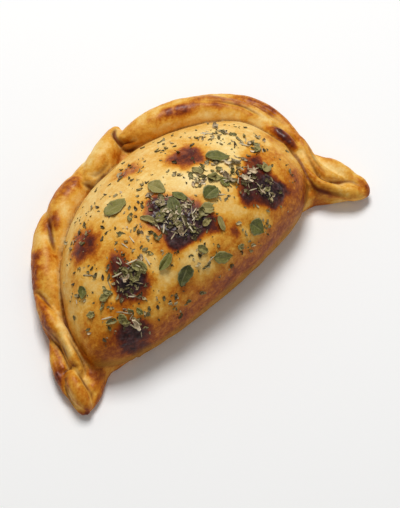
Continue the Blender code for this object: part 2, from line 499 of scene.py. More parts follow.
def linear(red: float, green: float, blue: float) -> tuple[float, float, float, float]:
    """Turn a display colour of 0 to 255 into the linear colour that a shader takes."""
    parts = [part / 255.0 for part in (red, green, blue)]
    return tuple(p / 12.92 if p <= 0.04045 else ((p + 0.055) / 1.055) ** 2.4 for p in parts) + (1.0,)


class NodeBoard:
    """A node tree with short ways to add nodes and join them."""

    def __init__(self, tree: bpy.types.NodeTree) -> None:
        """Take the tree that the nodes go into."""
        self.tree = tree

    def add(self, kind: str, inputs: dict | None = None, **settings: object) -> bpy.types.Node:
        """Add a node.

        Args:
            kind: Blender's name for the node type.
            inputs: Sockets or plain values, by input name or number.
            **settings: The node's own properties.

        Returns:
            The new node.
        """
        node = self.tree.nodes.new(kind)
        for key, value in settings.items():
            setattr(node, key, value)
        for key, value in (inputs or {}).items():
            self.feed(node.inputs[key], value)
        return node

    def feed(self, socket: bpy.types.NodeSocket, value: object) -> None:
        """Link another socket into this one, or set its plain value.

        Args:
            socket: The input to fill.
            value: An output socket or a plain value.
        """
        if isinstance(value, bpy.types.NodeSocket):
            self.tree.links.new(value, socket)
        else:
            socket.default_value = value

    def math(self, operation: str, first: object, second: object = 0.0,
             third: object = 0.0) -> bpy.types.NodeSocket:
        """Add a Math node and return its result."""
        inputs = {0: first, 1: second, 2: third}
        return self.add("ShaderNodeMath", inputs, operation=operation).outputs[0]

    def limit(self, value: object) -> bpy.types.NodeSocket:
        """Keep a value between 0 and 1."""
        return self.add("ShaderNodeClamp", {0: value}).outputs[0]

    def layer(self, name: str) -> bpy.types.NodeSocket:
        """Read a number stored on the mesh's points."""
        return self.add("ShaderNodeAttribute", attribute_name=name).outputs["Fac"]

    def mix(self, share: object, first: object, second: object,
            blend: str = "MIX") -> bpy.types.NodeSocket:
        """Blend two colours and return the result."""
        inputs = {0: share, 6: first, 7: second}
        return self.add("ShaderNodeMix", inputs, data_type="RGBA", blend_type=blend).outputs[2]

    def span(self, value: object, low: float, high: float, to_low: float,
             to_high: float) -> bpy.types.NodeSocket:
        """Map a value from one range to another, held inside it."""
        inputs = {0: value, 1: low, 2: high, 3: to_low, 4: to_high}
        return self.add("ShaderNodeMapRange", inputs).outputs[0]

    def stored(self, name: str) -> bpy.types.NodeSocket:
        """Read, inside Geometry Nodes, a number stored on the mesh's points."""
        return self.add("GeometryNodeInputNamedAttribute", {"Name": name}, data_type="FLOAT").outputs[0]

    def chance(self, seed: object, low: object, high: object, kind: str = "FLOAT") -> bpy.types.NodeSocket:
        """Draw a random value for each scattered point.

        Args:
            seed: What makes this draw differ from another.
            low: Least value.
            high: Greatest value.
            kind: FLOAT, INT or FLOAT_VECTOR.

        Returns:
            The value.
        """
        least, most, result = {"FLOAT_VECTOR": (0, 1, 0), "FLOAT": (2, 3, 1), "INT": (4, 5, 2)}[kind]
        inputs = {least: low, most: high, 8: seed}
        return self.add("FunctionNodeRandomValue", inputs, data_type=kind).outputs[result]

    def ramp(self, share: object, stops: tuple) -> bpy.types.NodeSocket:
        """Read a colour ramp.

        Args:
            share: Where along the ramp.
            stops: Place and display colour of each stop.

        Returns:
            The colour.
        """
        node = self.add("ShaderNodeValToRGB", {0: share})
        ramp = node.color_ramp
        ramp.elements.remove(ramp.elements[1])
        ramp.elements[0].position = stops[0][0]
        ramp.elements[0].color = linear(*stops[0][1])
        for place, colour in stops[1:]:
            ramp.elements.new(place).color = linear(*colour)
        return node.outputs[0]


def mottle_group() -> bpy.types.NodeTree:
    """Return the shared group that gives soft uneven patches at two sizes.

    Returns:
        A group with inputs Size in millimetres and Fine, the share of the finer patches,
        and an output Value between about 0 and 1.
    """
    found = bpy.data.node_groups.get("mottle")
    if found:
        return found
    tree = bpy.data.node_groups.new("mottle", "ShaderNodeTree")
    size = tree.interface.new_socket("Size", in_out="INPUT", socket_type="NodeSocketFloat")
    size.default_value = 3.0
    fine = tree.interface.new_socket("Fine", in_out="INPUT", socket_type="NodeSocketFloat")
    fine.default_value = 0.35
    tree.interface.new_socket("Value", in_out="OUTPUT", socket_type="NodeSocketFloat")
    board = NodeBoard(tree)
    given = board.add("NodeGroupInput").outputs
    place = board.add("ShaderNodeTexCoord").outputs["Object"]
    scale = board.math("DIVIDE", 1.0 / MM, given["Size"])
    broad = board.add("ShaderNodeTexNoise", {"Vector": place, "Scale": scale, "Detail": 2.0})
    small = board.add("ShaderNodeTexNoise",
                      {"Vector": place, "Scale": board.math("MULTIPLY", scale, 3.7), "Detail": 2.0})
    part = board.math("MULTIPLY", board.math("SUBTRACT", small.outputs[0], broad.outputs[0]), given["Fine"])
    board.add("NodeGroupOutput", {0: board.math("ADD", broad.outputs[0], part)})
    return tree


def mottle(board: NodeBoard, size: float, fine: float = 0.35) -> bpy.types.NodeSocket:
    """Place the shared mottle group in a material.

    Args:
        board: The material's nodes.
        size: Width of a patch in millimetres.
        fine: Share of the finer patches.

    Returns:
        The group's value, between about 0 and 1.
    """
    node = board.add("ShaderNodeGroup", node_tree=mottle_group())
    node.inputs["Size"].default_value = size
    node.inputs["Fine"].default_value = fine
    return node.outputs["Value"]


def new_material(name: str) -> tuple[bpy.types.Material, NodeBoard, bpy.types.bpy_prop_collection]:
    """Start a material.

    Args:
        name: Its name.

    Returns:
        The material, its nodes and the inputs of its shader.
    """
    material = bpy.data.materials.new(name)
    material.use_nodes = True
    return material, NodeBoard(material.node_tree), material.node_tree.nodes["Principled BSDF"].inputs


@dataclass(frozen=True)
class BakeSpot:
    """A place on the pocket that the oven has browned or scorched more."""

    name: str
    place: tuple[float, float]
    reach: tuple[float, float]
    turn: float
    heat: float
    edge: float = 0.7

    def halo(self, growth: float) -> BakeSpot:
        """Return the wider, softer spot of browned dough round this one."""
        reach = (self.reach[0] * growth, self.reach[1] * growth)
        return BakeSpot(self.name, self.place, reach, self.turn, self.heat, 0.85)

    def spread(self, points: Points, wander: Points) -> Points:
        """Return how strongly the spot shows at points.

        Args:
            points: Points in millimetres.
            wander: Uneven shift of the spot's edge, for each point.

        Returns:
            Shares from 0 outside to 1 in the middle.
        """
        turn = math.radians(self.turn)
        east, north = points[:, 0] - self.place[0], points[:, 1] - self.place[1]
        along = (east * math.cos(turn) + north * math.sin(turn)) / self.reach[0]
        across = (north * math.cos(turn) - east * math.sin(turn)) / self.reach[1]
        return fade(1.0, 1.0 - self.edge, np.hypot(along, across) + wander)


@dataclass(frozen=True)
class RimSpot:
    """A browned stretch of the rim, from one distance along the seam to another."""

    name: str
    start: float
    end: float
    across: float
    reach: float
    heat: float

    def spread(self, distance: Points, across: Points, wander: Points) -> Points:
        """Return how strongly the stretch shows at points beside the seam.

        Args:
            distance: Millimetres along the seam.
            across: Millimetres across it.
            wander: Uneven shift of the spot's edge, for each point.

        Returns:
            Shares from 0 outside to 1 in the middle.
        """
        half = (self.end - self.start) / 2
        along = (distance - self.start - half) / half
        beside = (across - self.across) / self.reach
        return fade(1.0, 0.15, np.hypot(along, beside) + wander)


@dataclass(frozen=True)
class Crease:
    """A pressed line where two folds of dough meet, seen from above."""

    name: str
    line: tuple[tuple[float, float], ...]
    width: float
    depth: float


SCORCH_SPOTS = (
    BakeSpot("middle_left", (-5.5, -10.5), (9.0, 8.0), 40.0, 0.98),
    BakeSpot("middle_core", (1.0, -14.5), (11.0, 7.5), -40.0, 0.84),
    BakeSpot("middle_low", (-4.0, -19.5), (11.0, 7.0), -40.0, 1.0),
    BakeSpot("middle_right", (4.5, -22.8), (8.0, 5.4), -38.0, 0.86),
    BakeSpot("middle_foot", (-8.5, -22.0), (6.5, 5.0), -40.0, 0.82),
    BakeSpot("right_main", (35.0, -25.0), (10.0, 8.4), -30.0, 1.0),
    BakeSpot("right_core", (32.5, -18.5), (8.0, 6.4), 30.0, 0.82),
    BakeSpot("right_high", (38.5, -14.5), (8.0, 5.6), 70.0, 0.72),
    BakeSpot("right_tail", (27.0, -24.0), (7.0, 5.4), 10.0, 0.8),
    BakeSpot("left_main", (-31.5, -22.0), (9.0, 7.6), -30.0, 0.98),
    BakeSpot("left_high", (-31.0, -13.5), (6.6, 5.4), 60.0, 0.74),
    BakeSpot("low_left", (-42.0, -34.5), (10.0, 5.8), -20.0, 0.84),
    BakeSpot("seam_left", (-33.5, 2.5), (9.5, 6.8), 52.0, 0.68),
    BakeSpot("seam_high", (19.0, 4.5), (11.5, 9.0), -30.0, 0.66),
    BakeSpot("seam_orange", (-0.5, 16.5), (7.0, 5.2), -20.0, 0.54),
    BakeSpot("small_brown", (12.6, -31.0), (3.6, 3.0), 0.0, 0.6),
)
CREAM = BakeSpot("cream", (20.0, -2.0), (30.0, 17.0), -18.0, 0.0, 0.9)
GOLD_SPOTS = (
    BakeSpot("neck_right", (47.0, -30.0), (13.0, 8.5), 62.0, 0.52, 0.9),
    BakeSpot("right_edge", (50.0, -18.0), (13.0, 6.0), 80.0, 0.36, 0.9),
    BakeSpot("below_middle", (8.0, -34.5), (14.0, 6.5), -15.0, 0.42, 0.9),
    BakeSpot("below_left", (-18.0, -35.5), (15.0, 6.0), -5.0, 0.44, 0.9),
    BakeSpot("left_low", (-47.0, -23.0), (11.0, 8.0), -60.0, 0.38, 0.9),
    BakeSpot("left_end", (-51.0, -31.0), (8.0, 7.0), -30.0, 0.46, 0.9),
    BakeSpot("left_field", (-29.0, -8.0), (21.0, 13.0), -20.0, 0.34, 0.9),
    BakeSpot("by_dark_end", (55.0, -6.0), (10.0, 5.0), -70.0, 0.36, 0.9),
    BakeSpot("beside_left", (-14.0, -24.0), (8.0, 7.0), -40.0, 0.36, 0.9),
    BakeSpot("left_groove", (-45.0, -5.0), (14.0, 5.0), 55.0, 0.3, 0.9),
    BakeSpot("gold_right", (45.0, -12.0), (12.0, 7.0), -60.0, 0.4, 0.9),
    BakeSpot("gold_low", (17.0, -30.0), (12.0, 5.0), -20.0, 0.38, 0.9),
    BakeSpot("gold_left", (-40.0, -27.0), (12.0, 9.0), -20.0, 0.42, 0.9),
)
CREASES = (
    Crease("pocket_left", ((-38.3, 15.2), (-45.6, 4.9), (-52.0, -4.0), (-55.4, -10.5), (-57.6, -20.1),
           (-58.8, -28.0), (-61.5, -34.0)), 0.8, 1.3),
    Crease("roll_end", ((15.0, 43.5), (11.2, 40.4), (10.6, 36.8), (13.5, 33.6), (17.5, 32.2)), 1.1, 2.2),
    Crease("pleat_high_side", ((10.0, 33.0), (4.5, 28.8), (-1.0, 27.4), (-7.0, 27.4), (-12.0, 26.0)),
           1.0, 1.2),
    Crease("pleat_high_dimple", ((3.5, 33.5), (-1.6, 30.6), (-6.7, 30.4), (-9.6, 33.4)), 1.4, 1.0),
    Crease("pleat_middle_side", ((-9.0, 26.0), (-11.2, 29.5), (-13.5, 33.0)), 1.2, 1.2),
    Crease("pleat_left_valley", ((-31.0, 30.0), (-34.4, 25.4), (-37.4, 20.4), (-40.5, 14.0)), 1.3, 1.6),
    Crease("roll_strand", ((44.0, 29.0), (52.8, 21.8), (57.6, 15.6), (60.2, 9.6), (62.0, 2.0)), 0.9, 1.2),
    Crease("outer_streak", ((54.0, 24.0), (61.6, 16.6), (65.2, 9.0), (66.8, 1.0), (67.4, -6.0)), 0.8, 1.0),
    Crease("bulb_side", ((60.6, 2.5), (63.6, -2.2), (64.9, -7.5), (63.8, -13.0)), 0.8, 1.5),
    Crease("neck_inner", ((64.6, -12.5), (64.0, -17.0), (62.2, -24.3), (61.9, -29.6), (66.2, -33.6),
           (70.6, -36.2), (71.9, -40.0), (71.8, -43.0)), 0.9, 1.3),
    Crease("neck_outer", ((68.4, -11.8), (67.2, -15.6), (65.4, -19.5), (64.5, -23.2), (64.4, -27.4),
           (65.6, -30.0)), 0.9, 1.0),
    Crease("neck_under", ((60.6, -12.0), (59.4, -18.5), (57.4, -25.0), (57.2, -30.2), (59.3, -34.2),
           (63.2, -38.8), (66.5, -41.3)), 1.0, 1.4),
    Crease("curl_top", ((-56.6, 10.4), (-55.4, 6.6), (-55.4, 3.0), (-55.7, -1.0), (-55.2, -4.6)), 1.0, 1.4),
    Crease("curl_low", ((-60.4, -1.0), (-62.7, -6.8), (-62.8, -11.9), (-62.9, -15.3), (-63.3, -18.9),
           (-64.5, -22.6), (-66.2, -25.6)), 1.0, 1.5),
    Crease("curl_side", ((-57.8, -14.6), (-59.3, -19.0), (-60.0, -23.0), (-60.6, -26.8), (-62.0, -30.4),
           (-64.0, -31.8)), 0.8, 1.2),
    Crease("bulb_left_side", ((-66.4, -25.6), (-70.4, -28.6), (-72.6, -33.4), (-73.0, -38.6)), 0.8, 1.3),
    Crease("bulb_right_side", ((-65.0, -26.6), (-64.9, -30.0), (-65.3, -33.8), (-65.8, -38.2),
           (-68.2, -41.8)), 0.8, 1.3),
    Crease("bulb_top", ((-63.4, -29.0), (-64.6, -26.2), (-67.4, -25.0), (-70.0, -26.6)), 0.8, 1.5),
    Crease("layer_streak", ((-62.8, -6.5), (-64.2, -13.0), (-65.2, -18.0), (-67.2, -23.4)), 0.8, 0.9),
    Crease("layer_streak_outer", ((-66.0, -15.5), (-67.6, -19.5), (-69.6, -24.6), (-71.2, -30.5)),
           0.8, 0.8),
    Crease("flap_bend", ((-63.5, -35.5), (-59.4, -35.0), (-55.0, -36.2)), 1.6, 0.8),
)
HERB_HEAPS = (
    BakeSpot("middle", (-1.5, -15.5), (11.8, 10.4), -40.0, 0.95, 0.6),
    BakeSpot("middle_left", (-6.5, -14.0), (8.0, 7.0), 0.0, 0.75, 0.6),
    BakeSpot("right", (28.8, -15.8), (9.8, 8.6), -20.0, 1.0, 0.6),
    BakeSpot("right_low", (34.0, -26.0), (8.0, 5.0), -30.0, 0.4, 0.7),
    BakeSpot("right_high", (26.0, -9.0), (9.0, 6.0), -40.0, 0.5, 0.8),
    BakeSpot("left", (-30.0, -20.0), (10.0, 8.0), -25.0, 0.9, 0.6),
    BakeSpot("between", (15.0, -8.0), (10.0, 6.0), -30.0, 0.4, 0.8),
    BakeSpot("left_trail", (-21.0, -8.0), (10.0, 7.0), -30.0, 0.25, 0.8),
    BakeSpot("low", (-42.0, -32.0), (8.5, 5.5), -20.0, 0.4, 0.7),
    BakeSpot("left_end", (-45.0, -24.0), (7.0, 8.0), -20.0, 0.22, 0.8),
    BakeSpot("seam_right", (45.0, -5.0), (10.0, 6.0), -50.0, 0.36, 0.8),
    BakeSpot("seam_far", (35.0, 8.0), (14.0, 6.0), -30.0, 0.2, 0.8),
)
RIM_SPOTS = (
    RimSpot("pleat_left_pale", 76.0, 92.0, -2.0, 6.0, 0.12),
    # Painted highlight along the inner side of the left curl.
    RimSpot("curl_pale", 16.0, 46.0, -4.0, 3.4, 0.08),
    RimSpot("pleat_high_pale", 102.0, 126.0, 2.0, 5.5, 0.1),
    RimSpot("roll_inner_pale", 124.0, 186.0, -3.8, 3.6, 0.15),
    RimSpot("flange_pale", 209.0, 234.0, 4.5, 5.5, 0.1),
    RimSpot("tip_left_dark", -8.0, 2.0, 0.0, 6.5, 0.58),
    RimSpot("layer_brown", 8.0, 24.0, 3.0, 3.6, 0.52),
    RimSpot("curl_edge", 24.0, 48.0, 2.0, 3.2, 0.48),
    RimSpot("bulb_gold", 0.0, 13.0, -0.6, 3.0, 0.3),
    RimSpot("flap_brown", 2.0, 18.0, -10.0, 5.5, 0.5),
    RimSpot("band_inner_pale", 46.0, 64.0, -3.0, 3.6, 0.16),
    RimSpot("pleat_left_outer", 44.0, 72.0, 3.8, 3.8, 0.52),
    RimSpot("pleat_middle_patch", 72.0, 86.0, 1.0, 5.0, 0.46),
    RimSpot("pleat_high_patch", 89.0, 106.0, 1.0, 5.0, 0.46),
    RimSpot("roll_start", 122.0, 134.0, -0.5, 4.2, 0.24),
    RimSpot("roll_top", 134.0, 166.0, -0.8, 5.0, 0.5),
    RimSpot("roll_far", 154.0, 178.0, 4.5, 4.0, 0.42),
    RimSpot("strands_outer", 170.0, 198.0, 6.0, 5.0, 0.48),
    RimSpot("burnt_end", 187.0, 208.0, -2.2, 4.0, 0.7),
    RimSpot("tip_right_edge", 231.0, 245.0, 1.0, 5.4, 0.42),
    RimSpot("flap_right_brown", 212.0, 236.0, -9.5, 3.8, 0.46),
)


@dataclass(frozen=True)
class CrustFinish:
    """Baked, egg-washed shortcrust: its colours from pale to scorched, its gloss and its pores."""

    bake: tuple = (
        (0.0, (252, 230, 172)),
        (0.12, (244, 209, 130)),
        (0.28, (228, 167, 62)),
        (0.42, (196, 114, 14)),
        (0.56, (146, 64, 2)),
        (0.70, (88, 26, 4)),
        (0.84, (46, 12, 8)),
        (1.0, (24, 8, 10)),
    )
    side: tuple = ((0.0, (206, 156, 80)), (0.5, (176, 120, 40)), (1.0, (124, 72, 12)))
    # Painted sheen: the purple-grey of a soft light's reflection on the scorched spots.
    char_sheen: tuple[float, float, float] = (150, 98, 104)
    # Colour of the dips: partly the paler dough of a dip, partly painted shade.
    pale_dip_and_shade_colour: tuple[float, float, float] = (214, 178, 124)
    fleck_colour: tuple[float, float, float] = (150, 102, 40)
    crease_shade_colour: tuple[float, float, float] = (124, 82, 58)
    roughness: float = 0.46
    # Painted shade multiplied into the creases, and painted shadow along the seam's groove.
    coat: float = 0.12
    coat_roughness: float = 0.3
    specular: float = 0.16
    wrinkles_per_mm: float = 0.42
    bump_depth: float = 0.6

    def make(self) -> bpy.types.Material:
        """Build the material.

        Returns:
            The crust's material.
        """
        material, board, sockets = new_material("baked_crust")
        heat, matte = board.layer("bake_depth"), board.layer("matte")
        patches = board.math("SUBTRACT", mottle(board, 2.6), 0.5)
        board.feed(sockets["Base Color"], self.colour(board, heat, matte, patches))
        rough = board.math("MULTIPLY_ADD", matte, 0.22, self.roughness)
        rough = board.math("MULTIPLY_ADD", patches, 0.25, rough)
        board.feed(sockets["Roughness"], board.limit(rough))
        shine = board.span(heat, 0.34, 0.75, self.coat * 0.3, self.coat * 3.4)
        glaze = board.math("MULTIPLY", board.layer("glazed"), shine)
        board.feed(sockets["Coat Weight"], board.limit(glaze))
        sockets["Coat Roughness"].default_value = self.coat_roughness
        sockets["Specular IOR Level"].default_value = self.specular
        board.feed(sockets["Normal"], self.pores(board, patches))
        return material

    def colour(self, board: NodeBoard, heat: bpy.types.NodeSocket, matte: bpy.types.NodeSocket,
               patches: bpy.types.NodeSocket) -> bpy.types.NodeSocket:
        """Colour the dough by how far it is baked, with painted sheen on its scorched spots and painted
        shade in its creases and dips.

        Args:
            board: The material's nodes.
            heat: From 0 for pale to 1 for scorched.
            matte: Share of the dry, streaked fold side and underside.
            patches: Uneven patches round 0.

        Returns:
            The colour.
        """
        specks = board.math("SUBTRACT", mottle(board, 0.7), 0.5)
        broad = board.math("SUBTRACT", mottle(board, 6.5, 0.5), 0.5)
        swing = board.math("MULTIPLY_ADD", patches, 0.32, board.math("MULTIPLY", specks, 0.16))
        swing = board.math("MULTIPLY_ADD", broad, 0.55, swing)
        depth = board.span(heat, 0.0, 0.5, 0.5, 1.0)
        toasted = board.limit(board.math("MULTIPLY_ADD", swing, depth, heat))
        colour = board.ramp(toasted, self.bake)
        streaked = board.ramp(board.limit(board.math("MULTIPLY_ADD", swing, 1.5, heat)), self.side)
        flecks = board.span(mottle(board, 1.3, 0.2), 0.66, 0.74, 0.0, 0.5)
        flecks = board.math("MULTIPLY", flecks, board.span(mottle(board, 11.0), 0.44, 0.56, 0.0, 1.0))
        flecks = board.math("MULTIPLY", flecks, board.span(heat, 0.1, 0.4, 0.2, 1.0))
        colour = board.mix(flecks, colour, linear(*self.fleck_colour), "MULTIPLY")
        # Painted sheen: purple-grey patches of reflected light painted on the scorched spots.
        char_sheen = board.math("MULTIPLY", board.span(mottle(board, 3.4, 0.6), 0.46, 0.62, 0.0, 1.0),
                         board.span(heat, 0.7, 0.85, 0.0, 0.2))
        colour = board.mix(char_sheen, colour, linear(*self.char_sheen))
        colour = board.mix(matte, colour, streaked)
        # Dips take a beige that is partly pale dough and partly painted shade.
        colour = board.mix(board.layer("hollow"), colour, linear(*self.pale_dip_and_shade_colour))
        # Painted shade in the creases and painted shadow along the seam's groove, multiplied in.
        return board.mix(board.layer("pressed"), colour, linear(*self.crease_shade_colour), "MULTIPLY")

    def pores(self, board: NodeBoard, patches: bpy.types.NodeSocket) -> bpy.types.NodeSocket:
        """Roughen the skin with fine wrinkles and pores.

        Args:
            board: The material's nodes.
            patches: Uneven patches round 0.

        Returns:
            The bumped normal.
        """
        place = board.add("ShaderNodeTexCoord").outputs["Object"]
        wrinkle = board.add("ShaderNodeTexNoise",
                            {"Vector": place, "Scale": self.wrinkles_per_mm / MM, "Detail": 3.0},
                            noise_type="RIDGED_MULTIFRACTAL")
        skin = board.math("MULTIPLY_ADD", mottle(board, 1.1, 0.5), 0.6, board.math("MULTIPLY", patches, 0.6))
        skin = board.math("MULTIPLY_ADD", wrinkle.outputs[0], 0.16, skin)
        inputs = {"Height": skin, "Strength": 0.5, "Distance": self.bump_depth * MM}
        return board.add("ShaderNodeBump", inputs).outputs[0]


@dataclass(frozen=True)
class Oven:
    """How far the oven takes each place; heat runs from 0 for pale to 1 for scorched."""

    pocket: float = 0.2
    pocket_cloud: float = 0.08
    cream: float = 0.15
    fold_side: float = 0.32
    halo_growth: float = 1.45
    halo_heat: float = 0.5
    rim: float = 0.25
    rim_cloud: float = 0.12
    wander: float = 0.22

    def brown(self, heat: Points, target: float, share: Points) -> Points:
        """Bring a heat up towards a target, and never down."""
        return np.maximum(heat, heat + (target - heat) * share)

    def pocket_heat(self, points: Points, wander: Points, cloud: Points) -> Points:
        """Bake the pocket.

        Args:
            points: Points in millimetres, as the solids' sizes give them.
            wander: Uneven shift of the spots' edges, for each point.
            cloud: Broad unevenness of the bake, for each point.

        Returns:
            The heat at each point.
        """
        _, y, z = points.T
        heat = self.pocket + self.pocket_cloud * cloud - self.cream * CREAM.spread(points, wander)
        heat += self.fold_side * fade(31.0, 16.0, z) * fade(-12.0, -31.0, y)
        for spot in GOLD_SPOTS:
            heat = self.brown(heat, spot.heat, spot.spread(points, wander))
        for spot in SCORCH_SPOTS:
            halo = spot.halo(self.halo_growth).spread(points, 0.8 * wander)
            heat = self.brown(heat, self.halo_heat * spot.heat, halo)
        for spot in SCORCH_SPOTS:
            heat = self.brown(heat, spot.heat, spot.spread(points, wander))
        return heat

    def rim_heat(self, points: Points, places: tuple[Points, Points], wander: Points,
                 cloud: Points) -> Points:
        """Bake the rim.

        Args:
            points: Points in millimetres, as the solids' sizes give them.
            places: How far along the seam and how far across it each point is.
            wander: Uneven shift of the spots' edges, for each point.
            cloud: Broad unevenness of the bake, for each point.

        Returns:
            The heat at each point.
        """
        heat = self.rim + self.rim_cloud * cloud + self.rim_cloud * lumps(points, 6.0, 83.0)
        for spot in RIM_SPOTS:
            heat = heat + (spot.heat - heat) * spot.spread(*places, wander)
        return heat


@dataclass
class Crust:
    """The whole crust as one skin: pocket, sheet, rim folds and the wings at its tips."""

    voxel: float = 0.56
    soften_rounds: int = 3
    groove: float = 0.9
    relief: float = 0.34
    relief_size: float = 13.0
    dimple: float = 0.11
    dimple_size: float = 4.0
    blister: float = 0.55
    blister_size: float = 2.2
    melted_ends: tuple = (((-55.0, -35.0), 9.0), ((54.5, -31.0), 7.0))
    oven: Oven = Oven()

    def __post_init__(self) -> None:
        """Lay out the seam and the solids that the skin is drawn round."""
        self.seam = SeamLine(SEAM_POINTS)
        self.shapes = self.solid_shapes()
        self.trees = [self.surface_tree(self.shapes[:1]), self.surface_tree(self.shapes[1:])]
        above = np.vstack([points[points[:, 2] > 0] for points, _ in self.shapes])
        middle = (above.min(axis=0) + above.max(axis=0)) / 2
        low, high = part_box("crust")
        centre = (low + high) / 2 / MM
        self.shift = np.array([centre.x - middle[0], centre.y - middle[1], 0.0])

    def solid_shapes(self) -> list[tuple[Points, Faces]]:
        """Draw every solid.

        Returns:
            The points and faces of each, the pocket first.
        """
        shapes = []
        for dome, segments, rings in ((POCKET, 320, 120), (SHEET, 320, 60)):
            ball, faces = unit_sphere(segments, rings)
            shapes.append((dome.shape(ball), faces))
        ball, faces = unit_sphere(40, 72)
        shapes += [(fold.shape(ball, self.seam), faces) for fold in FOLDS]
        ball, faces = unit_sphere(48, 32)
        shapes += [(flap.shape(ball), faces) for flap in FLAPS]
        return shapes

    def joined(self, shapes: list) -> tuple[Points, Faces]:
        """Put several solids' points and faces into one list each.

        Args:
            shapes: The points and faces of each solid.

        Returns:
            All points, and the faces that refer to them.
        """
        faces, start = [], 0
        for shape, ring in shapes:
            faces += [tuple(index + start for index in face) for face in ring]
            start += len(shape)
        return np.vstack([shape for shape, _ in shapes]), faces

    def surface_tree(self, shapes: list) -> BVHTree:
        """Index the surfaces of several solids."""
        points, faces = self.joined(shapes)
        return BVHTree.FromPolygons(points.tolist(), faces)

    def build(self) -> bpy.types.Object:
        """Build the skin and colour it.

        Returns:
            The crust piece.
        """
        points, faces = self.joined(self.shapes)
        skin = in_scene(mesh_object("crust_skin", points + self.shift, faces))
        remesh = skin.modifiers.new("one_skin", "REMESH")
        remesh.mode = "VOXEL"
        remesh.voxel_size = self.voxel * MM
        self.mesh = baked(skin)
        self.drop_inner_shells()
        self.soften()
        self.press_creases()
        self.blend_ends()
        self.raise_relief()
        self.cut_base()
        self.mesh.polygons.foreach_set("use_smooth", [True] * len(self.mesh.polygons))
        self.store_layers()
        self.mesh.materials.append(CrustFinish().make())
        return skin

    def read(self) -> tuple[Points, Points, Points]:
        """Read the skin as it stands.

        Returns:
            Its points, the same points as the solids' sizes give them, and its edges.
        """
        points = coordinates(self.mesh)
        return points, points - self.shift, edge_pairs(self.mesh)

    def drop_inner_shells(self) -> None:
        """Keep only the largest connected skin."""
        skin = bmesh.new()
        skin.from_mesh(self.mesh)
        left = set(skin.verts)
        shells = []
        while left:
            shell = [left.pop()]
            for vert in shell:
                near = [edge.other_vert(vert) for edge in vert.link_edges]
                fresh = [other for other in near if other in left]
                left.difference_update(fresh)
                shell += fresh
            shells.append(shell)
        shells.sort(key=len)
        for shell in shells[:-1]:
            bmesh.ops.delete(skin, geom=shell, context="VERTS")
        skin.to_mesh(self.mesh)
        skin.free()
        LOG.info("crust skin: %d points, %d inner shells dropped", len(self.mesh.vertices), len(shells) - 1)

    def soften(self) -> None:
        """Blend the solids into each other as dough does."""
        points, _, edges = self.read()
        set_coordinates(self.mesh, relaxed(points, edges, EVEN_STRENGTH, self.soften_rounds))

    def crease_depth(self, points: Points) -> Points:
        """Work out how deep the creases press the skin in.

        Args:
            points: Points in millimetres, as the solids' sizes give them.

        Returns:
            The depth at each point in millimetres.
        """
        tree = KDTree(sum(60 * (len(crease.line) - 1) + 1 for crease in CREASES))
        marks = []
        for crease in CREASES:
            line = catmull_rom(crease.line)
            for share, (east, north) in zip(np.linspace(0, 1, len(line)), line):
                tree.insert((east, north, 0.0), len(marks))
                marks.append((crease.width, crease.depth * math.sin(math.pi * share) ** 0.6))
        tree.balance()
        found = [tree.find((east, north, 0.0))[1:] for east, north in points[:, :2]]
        near = np.array([mark for mark, _ in found])
        gap = np.array([distance for _, distance in found])
        width, depth = np.array(marks)[near].T
        return depth * np.exp(-(gap / width) ** 2)

    def press_creases(self) -> None:
        """Press the creases into the upper side of the skin."""
        points, plain, edges = self.read()
        facing = relaxed(normals(self.mesh), edges, EVEN_STRENGTH, 10)
        groove = self.groove_share(self.pocket_share(plain), edges)
        depth = evened(self.crease_depth(plain) + self.groove * groove, edges, 2)
        points[:, 2] -= depth * fade(0.05, 0.5, facing[:, 2])
        set_coordinates(self.mesh, points)

    def blend_ends(self) -> None:
        """Smooth the pressed lines and melt the pocket's two ends into the wings."""
        points, plain, edges = self.read()
        groove = self.groove_share(self.pocket_share(plain), edges)
        lines = fade(0.1, 0.6, self.crease_depth(plain) + groove)
        points = relaxed(points, edges, EVEN_STRENGTH * lines, 6)
        melted = np.zeros(len(points))
        for place, reach in self.melted_ends:
            melted = np.maximum(melted, fade(reach, 0.5 * reach, np.hypot(*(plain[:, :2] - place).T)))
        melted *= fade(1.0, 3.0, points[:, 2])
        set_coordinates(self.mesh, relaxed(points, edges, EVEN_STRENGTH * melted, 40))

    def groove_share(self, pocket: Points, edges: Points) -> Points:
        """Return 1 along the line where the rim meets the pocket, fading to 0 beside it."""
        soft = evened(pocket, edges, 8)
        return fade(0.3, 1.0, 4 * soft * (1 - soft))

    def raise_relief(self) -> None:
        """Make the smooth skin as uneven as baked dough."""
        points, plain, _ = self.read()
        heat, pocket = self.bake_heat(plain)
        browned = np.maximum(fade(0.6, 0.95, heat), 0.5 * fade(0.36, 0.56, heat) * (1 - pocket))
        swell = self.relief * lumps(plain, self.relief_size, 3.1)
        swell += self.dimple * (1.6 - 0.6 * pocket) * lumps(plain, self.dimple_size, 11.7)
        swell += self.blister * browned * (0.4 + lumps(plain, self.blister_size, 23.9, 3))
        swell *= fade(0.0, 2.5, points[:, 2])
        set_coordinates(self.mesh, points + normals(self.mesh) * swell[:, None])

    def cut_base(self) -> None:
        """Cut the skin off flat where it stands and close it there."""
        skin = bmesh.new()
        skin.from_mesh(self.mesh)
        everything = skin.verts[:] + skin.edges[:] + skin.faces[:]
        bmesh.ops.bisect_plane(skin, geom=everything, dist=1e-7, plane_co=(0, 0, 0), plane_no=(0, 0, -1),
                               clear_outer=True)
        rim = [edge for edge in skin.edges if edge.is_boundary]
        bmesh.ops.triangle_fill(skin, use_beauty=True, use_dissolve=False, edges=rim, normal=(0, 0, -1))
        bmesh.ops.triangulate(skin, faces=skin.faces[:])
        bmesh.ops.recalc_face_normals(skin, faces=skin.faces[:])
        skin.to_mesh(self.mesh)
        skin.free()

